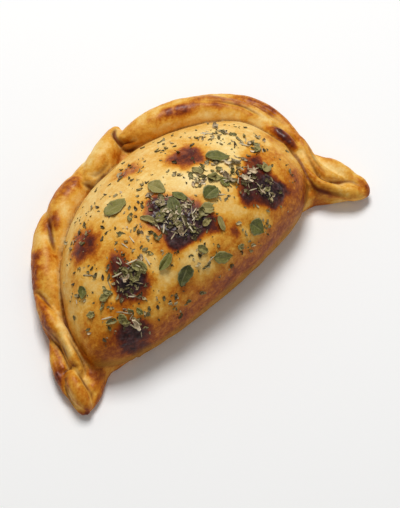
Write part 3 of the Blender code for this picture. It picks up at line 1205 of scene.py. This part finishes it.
    def seam_places(self, points: Points) -> tuple[Points, Points]:
        """Place points by the seam.

        Args:
            points: Points in millimetres, as the solids' sizes give them.

        Returns:
            How far along the seam and how far across it each point is.
        """
        every, batch = 4, 4000
        line, way, run = self.seam.line[::every], self.seam.along[::every], self.seam.distance[::every]
        distance, across = np.zeros(len(points)), np.zeros(len(points))
        for start in range(0, len(points), batch):
            part = slice(start, start + batch)
            gaps = points[part, None, :2] - line[None, :, :]
            near = np.argmin((gaps**2).sum(axis=2), axis=1)
            gap = points[part, :2] - line[near]
            distance[part] = run[near] + (gap * way[near]).sum(axis=1)
            across[part] = gap[:, 1] * way[near, 0] - gap[:, 0] * way[near, 1]
        return distance, across

    def pocket_share(self, points: Points) -> Points:
        """Tell the pocket's skin from the rim's.

        Args:
            points: Points in millimetres, as the solids' sizes give them.

        Returns:
            1 on the pocket and 0 on the rim, with a short run between them.
        """
        own, rest = self.trees
        gaps = [rest.find_nearest(point)[3] - own.find_nearest(point)[3] for point in points]
        return fade(-0.35, 0.35, np.array(gaps))

    def bake_heat(self, points: Points) -> tuple[Points, Points]:
        """Work out how far the oven has taken each point.

        Args:
            points: Points in millimetres, as the solids' sizes give them.

        Returns:
            The heat, from 0 for pale to 1 for scorched, and the pocket's share.
        """
        pocket = self.pocket_share(points)
        wander = self.oven.wander * lumps(points, 5.0, 41.3, 3)
        cloud = lumps(points, 15.0, 57.1)
        body = self.oven.pocket_heat(points, wander, cloud)
        rim = self.oven.rim_heat(points, self.seam_places(points), wander, cloud)
        return body * pocket + rim * (1 - pocket), pocket

    def store_layers(self) -> None:
        """Store the layers that the crust's finish reads."""
        points, plain, edges = self.read()
        facing = normals(self.mesh)
        heat, pocket = self.bake_heat(plain)
        smooth = relaxed(points, edges, EVEN_STRENGTH, 24)
        dip = ((smooth - points) * facing).sum(axis=1)
        heat, dip = relaxed(np.column_stack([heat, dip]), edges, EVEN_STRENGTH, 3).T
        # Painted shade: darker colour in the creases, plus painted shadow along the seam's groove at the
        # back, on faces that look up.
        groove = self.groove_share(pocket, edges) * fade(-26.0, -14.0, plain[:, 1])
        pressed = fade(0.4, 1.4, self.crease_depth(plain)) + 0.8 * groove
        pressed = np.minimum(pressed, 1.0) * fade(0.05, 0.5, facing[:, 2])
        # Dips of low heat: partly pale underbaked dough, partly painted shade.
        hollow = fade(0.15, 0.7, dip) * (1 - fade(0.2, 0.8, pressed))
        heat = heat + 0.10 * fade(0.02, 0.25, -dip) * (1 - pocket)
        wander = 3.0 * lumps(plain, 9.0, 71.0)
        matte = fade(15.0, 8.0, points[:, 2] + wander) * fade(-0.25, -0.7, facing[:, 1]) * pocket
        matte = evened(np.maximum(matte, fade(-0.6, -0.9, facing[:, 2])), edges, 4)
        upward = relaxed(facing, edges, EVEN_STRENGTH, 8)[:, 2]
        layers = {
            "bake_depth": np.clip(heat, 0.0, 1.0),
            "hollow": 0.55 * hollow * (1 - fade(0.3, 0.6, heat)),
            "pressed": evened(pressed, edges, 1),
            "matte": matte,
            "glazed": (1 - matte) * fade(0.1, 0.7, upward),
        }
        for name, values in (layers | self.herb_cover(plain, pocket)).items():
            set_layer(self.mesh, name, values)

    def herb_cover(self, plain: Points, pocket: Points) -> dict[str, Points]:
        """Work out how thickly broken herbs lie, heaped and strewn.

        Args:
            plain: The skin's points as the solids' sizes give them.
            pocket: The pocket's share at each point.

        Returns:
            The layers that the scatters read, by name.
        """
        wander = 0.3 * lumps(plain, 4.0, 91.0)
        heaped = np.zeros(len(plain))
        for heap in HERB_HEAPS:
            heaped = np.maximum(heaped, heap.heat * heap.spread(plain, wander))
        patchy = fade(-0.25, 0.6, lumps(plain, 7.0, 37.0))
        high = fade(16.0, 26.0, plain[:, 2]) * pocket
        return {
            "cover_heaped": heaped * high + 0.04 * patchy * high,
            "cover_strewn": (0.5 * heaped + 0.05 + 0.32 * patchy) * high,
            "headroom": fade(39.5, 34.0, plain[:, 2]),
        }


@dataclass(frozen=True)
class Leaf:
    """One whole oregano leaf lying on the pocket.

    Sizes are in millimetres. The turn is the way its tip points, in degrees from +X; fold
    is the rise of its halves beside the midrib, curl the rise of its two ends, broken the
    share missing at the tip, and green runs from 0 for dry olive to 1 for fresh green.
    """

    place: tuple[float, float]
    turn: float
    length: float
    width: float
    fold: float = 0.35
    curl: float = 0.5
    broken: float = 0.0
    green: float = 0.6


LEAVES = (
    Leaf((-16.0, 4.5), -22.0, 10.4, 7.6, 0.25, 0.9, 0.10, 0.5),
    Leaf((0.0, -0.5), -66.0, 8.2, 6.2, 0.45, 0.5, 0.05, 0.35),
    Leaf((-0.5, -12.0), -109.0, 9.4, 5.6, 0.55, 0.8, 0.0, 0.9),
    Leaf((4.0, -9.5), -75.0, 7.0, 3.4, 0.6, 0.6, 0.12, 0.75),
    Leaf((-11.5, -9.5), -62.0, 7.6, 3.2, 0.8, 0.4, 0.2, 0.2),
    Leaf((27.5, -4.0), -25.0, 9.6, 6.0, 0.5, 0.7, 0.0, 0.75),
    Leaf((20.0, -11.0), -40.0, 6.2, 3.8, 0.6, 0.4, 0.0, 0.35),
    Leaf((21.5, -15.0), -95.0, 5.2, 3.6, 0.4, 0.5, 0.15, 0.65),
    Leaf((14.5, -15.5), 10.0, 7.6, 6.4, 0.5, 0.6, 0.1, 0.85),
    Leaf((9.5, -19.5), -35.0, 6.0, 5.0, 0.3, 0.6, 0.2, 0.3),
    Leaf((9.5, -27.0), -110.0, 7.0, 3.0, 0.8, 0.4, 0.15, 0.25),
    Leaf((21.0, -34.0), -66.0, 7.8, 7.0, 0.35, 0.9, 0.0, 0.8),
    Leaf((40.5, -18.0), 30.0, 5.2, 4.2, 0.5, 0.7, 0.2, 0.3),
    Leaf((3.0, -35.0), -45.0, 8.6, 5.2, 0.45, 0.7, 0.0, 0.55),
    Leaf((-2.5, -30.0), -80.0, 5.0, 3.4, 0.5, 0.6, 0.1, 0.35),
    Leaf((11.5, -36.0), -50.0, 3.8, 3.0, 0.5, 0.5, 0.2, 0.3),
    Leaf((-14.0, -32.5), -131.0, 8.6, 6.2, 0.4, 0.8, 0.0, 1.0),
    Leaf((-16.5, -24.5), 18.0, 8.8, 4.4, 0.8, 0.5, 0.12, 0.65),
    Leaf((-25.5, -20.5), -71.0, 6.8, 4.4, 0.5, 0.5, 0.1, 0.4),
    Leaf((-46.0, -11.0), -138.0, 5.0, 4.4, 0.4, 0.8, 0.0, 0.7),
    Leaf((-41.5, -29.5), -95.0, 5.4, 3.6, 0.5, 0.5, 0.15, 0.4),
    Leaf((-41.5, -19.0), -13.0, 5.0, 3.2, 0.6, 0.5, 0.1, 0.35),
    Leaf((-49.0, -20.0), -30.0, 3.8, 3.0, 0.6, 0.6, 0.2, 0.25),
    Leaf((-35.0, -31.0), 100.0, 3.6, 2.4, 0.6, 0.5, 0.1, 0.5),
    Leaf((17.0, -5.0), -60.0, 5.6, 3.2, 0.7, 0.5, 0.15, 0.2),
    Leaf((44.0, -9.0), 8.0, 5.4, 3.2, 0.7, 0.6, 0.15, 0.3),
    Leaf((5.5, -23.5), 5.0, 4.6, 3.0, 0.7, 0.6, 0.2, 0.15),
)


LEAF_TONES = ((0.0, (104, 88, 42)), (0.2, (158, 142, 82)), (0.4, (142, 132, 66)), (0.6, (120, 116, 46)),
              (0.8, (96, 98, 30)), (1.0, (68, 70, 18)))
FRAGMENT_TONES = ((0.0, (92, 78, 44)), (0.2, (130, 122, 66)), (0.4, (158, 146, 96)), (0.55, (118, 116, 54)),
                  (0.7, (166, 142, 112)), (0.85, (204, 180, 144)), (1.0, (232, 214, 182)))
CRUMB_TONES = ((0.0, (70, 54, 26)), (0.35, (100, 86, 46)), (0.6, (122, 112, 66)), (0.8, (154, 136, 92)),
               (1.0, (190, 172, 128)))
STALK_TONES = ((0.0, (150, 132, 96)), (0.5, (188, 170, 132)), (1.0, (218, 204, 172)))


@dataclass(frozen=True)
class HerbFinish:
    """Dried herb: a colour ramp over its tone, with veins where the mesh carries them."""

    name: str
    tones: tuple
    veins: bool = False
    vein_colour: tuple[float, float, float] = (172, 164, 112)
    roughness: float = 0.62

    def make(self) -> bpy.types.Material:
        """Build the material.

        Returns:
            The herb's material.
        """
        material, board, sockets = new_material(self.name)
        mealy = board.math("SUBTRACT", mottle(board, 0.9, 0.5), 0.5)
        tone = board.math("MULTIPLY_ADD", mealy, 1.1, board.layer("tone"))
        colour = board.ramp(board.limit(tone), self.tones)
        height = mealy
        if self.veins:
            line = self.vein_lines(board)
            rim = board.span(board.math("ABSOLUTE", board.layer("leaf_across")), 0.8, 1.0, 0.0, 0.55)
            colour = board.mix(board.math("MAXIMUM", board.math("MULTIPLY", line, 0.32), rim),
                               colour, linear(*self.vein_colour))
            height = board.math("MULTIPLY_ADD", line, -0.8, mealy)
        board.feed(sockets["Base Color"], colour)
        board.feed(sockets["Roughness"], board.math("MULTIPLY_ADD", mealy, 0.3, self.roughness))
        bump = board.add("ShaderNodeBump", {"Height": height, "Strength": 0.5, "Distance": 0.0003})
        board.feed(sockets["Normal"], bump.outputs[0])
        return material

    def vein_lines(self, board: NodeBoard) -> bpy.types.NodeSocket:
        """Draw the midrib and the side veins from the leaf's own lengthwise and crosswise layers.

        Args:
            board: The material's nodes.

        Returns:
            A mask of the veins.
        """
        along, across = board.layer("leaf_along"), board.math("ABSOLUTE", board.layer("leaf_across"))
        midrib = board.span(across, 0.03, 0.12, 1.0, 0.0)
        slanted = board.math("MULTIPLY_ADD", across, -0.16, along)
        wave = board.math("ABSOLUTE", board.math("SINE", board.math("MULTIPLY", slanted, 19.0)))
        side = board.span(wave, 0.0, 0.22, 1.0, 0.0)
        return board.math("MAXIMUM", midrib, board.math("MULTIPLY", side, 0.7))


class Ground:
    """The crust's skin, asked where herbs lie on it."""

    def __init__(self, skin: bpy.types.Object, shift: Points) -> None:
        """Index the skin's faces.

        Args:
            skin: The crust piece.
            shift: Millimetres from the solids' own plan to the skin's.
        """
        mesh = skin.data
        points = [vert.co.copy() for vert in mesh.vertices]
        self.tree = BVHTree.FromPolygons(points, [tuple(face.vertices) for face in mesh.polygons])
        self.shift = shift

    def under(self, east: float, north: float) -> tuple[Vector, Vector]:
        """Look straight down on the skin.

        Args:
            east: Plan place along X in millimetres, as the solids' sizes give it.
            north: Plan place along Y, likewise.

        Returns:
            The skin's point there and the way it faces.
        """
        start = Vector(((east + self.shift[0]) * MM, (north + self.shift[1]) * MM, 0.1))
        hit, facing, _, _ = self.tree.ray_cast(start, Vector((0, 0, -1)))
        return hit, facing

    def below(self, point: Vector, facing: Vector) -> Vector:
        """Return the skin's point straight below a point that floats over it along facing."""
        hit, _, _, _ = self.tree.ray_cast(point + facing * 0.006, -facing, 0.012)
        return hit if hit is not None else point


@dataclass
class LeafLayer:
    """All whole leaves, laid on the crust one by one."""

    ground: Ground
    steps_along: int = 15
    steps_across: int = 10
    thickness: float = 0.17
    ripple: float = 0.55
    gap: float = 0.12
    least_gap: float = 0.05
    teeth: float = 0.05
    ruffle: float = 0.16
    ragged: float = 2.0
    crest: float = 41.5

    def build(self) -> bpy.types.Object:
        """Build the leaves as one piece.

        Returns:
            The piece.
        """
        points, faces, along, across, tone = [], [], [], [], []
        leaf_faces = sheet_faces(self.steps_across, self.steps_along)
        for number, leaf in enumerate(LEAVES):
            start = len(points)
            spots, layers = self.leaf_points(leaf, number)
            points += spots
            along += layers[0]
            across += layers[1]
            tone += [leaf.green] * len(spots)
            faces += [tuple(index + start for index in face) for face in leaf_faces]
        piece = in_scene(mesh_object("oregano_leaves", under_ceiling(np.array(points)), faces))
        for name, values in (("leaf_along", along), ("leaf_across", across), ("tone", tone)):
            set_layer(piece.data, name, np.array(values))
        piece.data.polygons.foreach_set("use_smooth", [True] * len(piece.data.polygons))
        piece.data.materials.append(HerbFinish("oregano_leaf", LEAF_TONES, veins=True).make())
        return piece

    def leaf_points(self, leaf: Leaf, number: int) -> tuple[list, tuple[list, list]]:
        """Lay one leaf on the crust.

        Args:
            leaf: Its sizes.
            number: Its place in the row, which settles its ripples.

        Returns:
            Its points in millimetres, underside first, and their lengthwise and crosswise layers.
        """
        middle, facing = self.ground.under(*leaf.place)
        turn = math.radians(leaf.turn)
        way = Vector((math.cos(turn), math.sin(turn), 0))
        way = (way - facing * way.dot(facing)).normalized()
        side = facing.cross(way)
        tops, unders, along, across = [], [], [], []
        for row in range(self.steps_along + 1):
            run = row / self.steps_along * (1 - leaf.broken)
            half = leaf.width / 2 * math.sin(math.pi * min(1.0, run * 0.985 + 0.012) ** 0.82) ** 0.8
            bend = 0.06 * leaf.length * math.sin(1.7 * number + 2.6 * run)
            torn = self.ragged * leaf.broken * (row == self.steps_along)
            for column in range(self.steps_across + 1):
                beside = 2 * column / self.steps_across - 1
                place = Vector((run * 2.6, beside * 1.3, number * 1.7))
                wavy = self.teeth * math.sin(23 * run + 3 * number) + self.ruffle * noise.noise(place)
                spread = beside * half * (1 + wavy * abs(beside))
                ahead = (run - 0.5) * leaf.length + torn * math.sin(5.1 * column + 2.3 * number)
                sideways = spread * math.cos(leaf.fold * 0.8) + bend
                foot = self.ground.below(middle + (way * ahead + side * sideways) * MM, facing)
                rise = self.gap + leaf.fold * abs(spread) * 0.75 + leaf.curl * (2 * run - 1) ** 4
                rise += self.ripple * (0.4 + abs(beside)) * noise.fractal(place * 1.4, 0.9, 2.0, 2)
                rise *= min(1.0, max(0.3, (self.crest - foot.z / MM) / 4.0))
                rise = max(self.least_gap, rise)
                unders.append((foot + facing * rise * MM) / MM)
                tops.append((foot + facing * (rise + self.thickness) * MM) / MM)
                along.append(run)
                across.append(beside)
        return unders + tops, (along * 2, across * 2)


FIRST_SEED = 700  # of the broken herbs' shapes


class Crumb(Enum):
    """The kinds of broken herb that are strewn on the crust."""

    FRAGMENT = "herb_fragments"
    CRUMB = "herb_crumbs"
    STALK = "herb_stalks"


@dataclass(frozen=True)
class CrumbShape:
    """The pattern of one kind of broken herb: a small curled scrap about 1 long."""

    width: float
    curl: float
    thickness: float
    wobble: float
    steps: tuple[int, int]
    variants: int = 6

    def patterns(self, kind: Crumb) -> bpy.types.Collection:
        """Make the differing scraps of a kind.

        Args:
            kind: The kind they belong to.

        Returns:
            A collection of them, left out of the scene.
        """
        store = bpy.data.collections.new(kind.value + "_patterns")
        for number in range(self.variants):
            chance = np.random.default_rng(FIRST_SEED + number + len(kind.value))
            store.objects.link(self.scrap(f"{kind.value}_{number}", chance))
        return store

    def scrap(self, name: str, chance: np.random.Generator) -> bpy.types.Object:
        """Make one scrap.

        Args:
            name: Its name.
            chance: The source of its unevenness.

        Returns:
            The scrap, 1 mm long, in metres.
        """
        across, along = self.steps
        bend = self.curl * chance.uniform(0.4, 1.3, 2)
        lean = chance.uniform(-0.3, 0.3)
        tops = []
        for row in range(along + 1):
            run = row / along - 0.5
            narrow = 1 - 0.75 * abs(2 * run) ** 2.5
            for column in range(across + 1):
                beside = column / across - 0.5
                edge = abs(2 * run) > 0.9 or abs(2 * beside) > 0.9
                shake = self.wobble * chance.uniform(-1, 1, 2) * edge
                sideways = (beside * narrow + lean * run) * self.width
                tops.append((run + shake[0], sideways + shake[1],
                             bend[0] * run**2 * 2 + bend[1] * beside**2 * 2))
        top = np.array(tops)
        under = top - (0, 0, self.thickness)
        return mesh_object(name, np.vstack([under, top]), sheet_faces(across, along))


@dataclass
class Scatter:
    """One kind of broken herb strewn over the crust by Geometry Nodes."""

    kind: Crumb
    shape: CrumbShape
    finish: HerbFinish
    cover: str
    density: float
    smallest: float
    largest: float
    tilt: float
    lift: float
    seed: int

    def tree(self) -> tuple[bpy.types.NodeTree, dict[str, str]]:
        """Build the scattering tree.

        Returns:
            The tree and its inputs' identifiers by name.
        """
        tree = bpy.data.node_groups.new(self.kind.value, "GeometryNodeTree")
        keys = {}
        for name, kind in (("Geometry", "Geometry"), ("Density", "Float"), ("Smallest", "Float"),
                           ("Largest", "Float"), ("Tilt", "Float"), ("Lift", "Float"), ("Seed", "Int"),
                           ("Patterns", "Collection")):
            socket = tree.interface.new_socket(name, in_out="INPUT", socket_type="NodeSocket" + kind)
            keys[name] = socket.identifier
        tree.interface.new_socket("Geometry", in_out="OUTPUT", socket_type="NodeSocketGeometry")
        board = NodeBoard(tree)
        given = board.add("NodeGroupInput").outputs
        cover = board.stored(self.cover)
        tone = board.chance(board.math("ADD", given["Seed"], 3.0), 0.0, 1.0)
        toned = board.add("GeometryNodeStoreNamedAttribute",
                          {"Geometry": self.strewn(board, given, cover), "Name": "tone", "Value": tone},
                          data_type="FLOAT", domain="INSTANCE")
        high = board.math("MULTIPLY_ADD", board.stored("headroom"), 0.75, 0.25)
        heap = board.math("MULTIPLY", board.math("MULTIPLY", cover, tone), given["Lift"])
        rise = board.add("ShaderNodeCombineXYZ", {2: board.math("MULTIPLY", heap, high)})
        lifted = board.add("GeometryNodeTranslateInstances",
                           {"Instances": toned.outputs[0], "Translation": rise.outputs[0],
                            "Local Space": False})
        whole = board.add("GeometryNodeRealizeInstances", {0: lifted.outputs[0]})
        dressed = board.add("GeometryNodeSetMaterial", {0: whole.outputs[0], "Material": self.finish.make()})
        board.add("NodeGroupOutput", {0: dressed.outputs[0]})
        return tree, keys

    def strewn(self, board: NodeBoard, given: bpy.types.bpy_prop_collection,
               cover: bpy.types.NodeSocket) -> bpy.types.NodeSocket:
        """Place the scraps on the skin, turned and sized at random.

        Args:
            board: The tree's nodes.
            given: The tree's inputs.
            cover: How thickly the herb lies.

        Returns:
            The placed scraps.
        """
        amount = board.math("MULTIPLY", cover, given["Density"])
        points = board.add("GeometryNodeDistributePointsOnFaces",
                           {"Mesh": given["Geometry"], "Density": amount, "Seed": given["Seed"]})
        spin = board.chance(given["Seed"], (-1.0, -1.0, -1.0), (1.0, 1.0, 1.0), "FLOAT_VECTOR")
        lean = board.add("ShaderNodeCombineXYZ", {0: given["Tilt"], 1: given["Tilt"], 2: math.pi})
        swing = board.add("ShaderNodeVectorMath", {0: spin, 1: lean.outputs[0]}, operation="MULTIPLY")
        turn = board.add("FunctionNodeEulerToRotation", {0: swing.outputs[0]})
        facing = board.add("FunctionNodeRotateRotation",
                           {"Rotation": points.outputs["Rotation"], "Rotate By": turn.outputs[0]},
                           rotation_space="LOCAL")
        size = board.chance(board.math("ADD", given["Seed"], 1.0), 0.0, 1.0)
        spread = board.math("SUBTRACT", given["Largest"], given["Smallest"])
        scale = board.math("MULTIPLY_ADD", board.math("POWER", size, 1.6), spread, given["Smallest"])
        pick = board.chance(board.math("ADD", given["Seed"], 2.0), 0, self.shape.variants - 1, "INT")
        store = board.add("GeometryNodeCollectionInfo", {"Collection": given["Patterns"],
                                                         "Separate Children": True, "Reset Children": True})
        return board.add("GeometryNodeInstanceOnPoints",
                         {"Points": points.outputs["Points"], "Instance": store.outputs[0],
                          "Pick Instance": True, "Instance Index": pick,
                          "Rotation": facing.outputs[0], "Scale": scale}).outputs[0]

    def build(self, skin: bpy.types.Object) -> bpy.types.Object:
        """Strew the herb over the skin.

        Args:
            skin: The crust piece.

        Returns:
            The piece.
        """
        piece = in_scene(bpy.data.objects.new(self.kind.value, skin.data.copy()))
        patterns = self.shape.patterns(self.kind)
        tree, keys = self.tree()
        modifier = piece.modifiers.new("strew", "NODES")
        modifier.node_group = tree
        values = {"Density": self.density, "Smallest": self.smallest, "Largest": self.largest,
                  "Tilt": self.tilt, "Lift": self.lift * MM, "Seed": self.seed, "Patterns": patterns}
        for name, value in values.items():
            modifier[keys[name]] = value
        mesh = baked(piece)
        set_coordinates(mesh, under_ceiling(coordinates(mesh)))
        for scrap in list(patterns.objects):
            mesh = scrap.data
            bpy.data.objects.remove(scrap)
            bpy.data.meshes.remove(mesh)
        bpy.data.collections.remove(patterns)
        return piece


def scatters() -> list[Scatter]:
    """Size the kinds of broken herb.

    Returns:
        One scatter for each kind, with lengths in millimetres and densities for each square metre.
    """
    fragment = CrumbShape(width=0.5, curl=0.42, thickness=0.05, wobble=0.11, steps=(3, 4), variants=10)
    crumb = CrumbShape(width=0.7, curl=0.35, thickness=0.12, wobble=0.1, steps=(2, 2))
    stalk = CrumbShape(width=0.13, curl=0.12, thickness=0.1, wobble=0.015, steps=(1, 4))
    return [
        Scatter(Crumb.FRAGMENT, fragment, HerbFinish("dry_fragment", FRAGMENT_TONES), "cover_heaped",
                density=170000.0, smallest=1.6, largest=4.6, tilt=0.6, lift=1.2, seed=11),
        Scatter(Crumb.CRUMB, crumb, HerbFinish("dry_crumb", CRUMB_TONES), "cover_strewn",
                density=560000.0, smallest=0.6, largest=2.4, tilt=0.5, lift=0.4, seed=23),
        Scatter(Crumb.STALK, stalk, HerbFinish("dry_stalk", STALK_TONES), "cover_heaped",
                density=150000.0, smallest=2.0, largest=4.8, tilt=0.4, lift=1.2, seed=37),
    ]


@dataclass(frozen=True)
class SoftLight:
    """A square soft light; its way is given right of the view, up in it and back to the camera."""

    name: str
    way: tuple[float, float, float]
    size: float
    power: float
    distance: float = 1.3


LIGHTS = (
    SoftLight("key", (-0.05, 0.95, 0.65), size=0.5, power=13.8),
    SoftLight("fill", (0.8, -0.2, 0.9), size=1.2, power=1.5),
)


@dataclass
class Studio:
    """Plain pale floor, soft lights and the camera."""

    target: tuple[float, float, float] = (0.00022, -0.02375, 0.014)
    distance: float = 0.66
    elevation: float = 64.0
    azimuth: float = -41.0
    lens: float = 120.0
    floor_size: float = 3.0
    floor_colour: tuple[float, float, float, float] = (0.97, 0.97, 0.965, 1.0)
    room_colour: tuple[float, float, float, float] = (1.0, 0.99, 0.97, 1.0)
    room_strength: float = 0.24

    def axes(self) -> tuple[Vector, Vector, Vector]:
        """Work out the view's own directions.

        Returns:
            Right of the view, up in it and back to the camera.
        """
        turn, rise = math.radians(self.azimuth), math.radians(self.elevation)
        back = Vector((math.sin(turn) * math.cos(rise), -math.cos(turn) * math.cos(rise), math.sin(rise)))
        right = Vector((0, 0, 1)).cross(back).normalized()
        return right, back.cross(right), back

    def build(self) -> None:
        """Set up the camera, the lights, the world and the floor."""
        scene = bpy.context.scene
        scene.view_settings.view_transform = "Standard"
        axes = self.axes()
        camera = bpy.data.cameras.new("camera")
        camera.lens = self.lens
        scene.camera = in_scene(bpy.data.objects.new("camera", camera))
        turn = Matrix(axes).transposed().to_4x4()
        scene.camera.matrix_world = Matrix.Translation(Vector(self.target) + axes[2] * self.distance) @ turn
        for light in LIGHTS:
            self.hang(light, axes)
        world = bpy.data.worlds.new("soft_room")
        world.use_nodes = True
        sockets = world.node_tree.nodes["Background"].inputs
        sockets["Color"].default_value = self.room_colour
        sockets["Strength"].default_value = self.room_strength
        scene.world = world
        self.floor()

    def hang(self, light: SoftLight, axes: tuple[Vector, Vector, Vector]) -> None:
        """Hang one light so that it faces the object.

        Args:
            light: Its sizes.
            axes: The view's own directions.
        """
        lamp = bpy.data.lights.new(light.name, "AREA")
        lamp.size = light.size
        lamp.energy = light.power
        item = in_scene(bpy.data.objects.new(light.name, lamp))
        way = sum((share * axis for share, axis in zip(light.way, axes)), Vector()).normalized()
        item.matrix_world = (Matrix.Translation(Vector(self.target) + way * light.distance)
                             @ way.to_track_quat("Z", "Y").to_matrix().to_4x4())

    def floor(self) -> None:
        """Lay the floor."""
        half = self.floor_size / 2 / MM
        corners = [(-half, -half, 0), (half, -half, 0), (half, half, 0), (-half, half, 0)]
        floor = in_scene(mesh_object("floor", corners, [(0, 1, 2, 3)]))
        material, _, sockets = new_material("pale_floor")
        sockets["Base Color"].default_value = self.floor_colour
        sockets["Roughness"].default_value = 0.9
        floor.data.materials.append(material)


def place_piece(piece: bpy.types.Object) -> None:
    """Let a piece ride on the body and report it."""
    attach(piece, BODY)
    LOG.info("%s: %d faces", piece.name, len(piece.data.polygons))


def main() -> None:
    """Build every piece in order."""
    logging.basicConfig(level=logging.INFO, format="%(message)s")
    Studio().build()
    crust = Crust()
    skin = crust.build()
    place_piece(skin)
    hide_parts("crust")
    ground = Ground(skin, crust.shift)
    place_piece(LeafLayer(ground).build())
    for scatter in scatters():
        place_piece(scatter.build(skin))


if __name__ == "__main__":
    main()
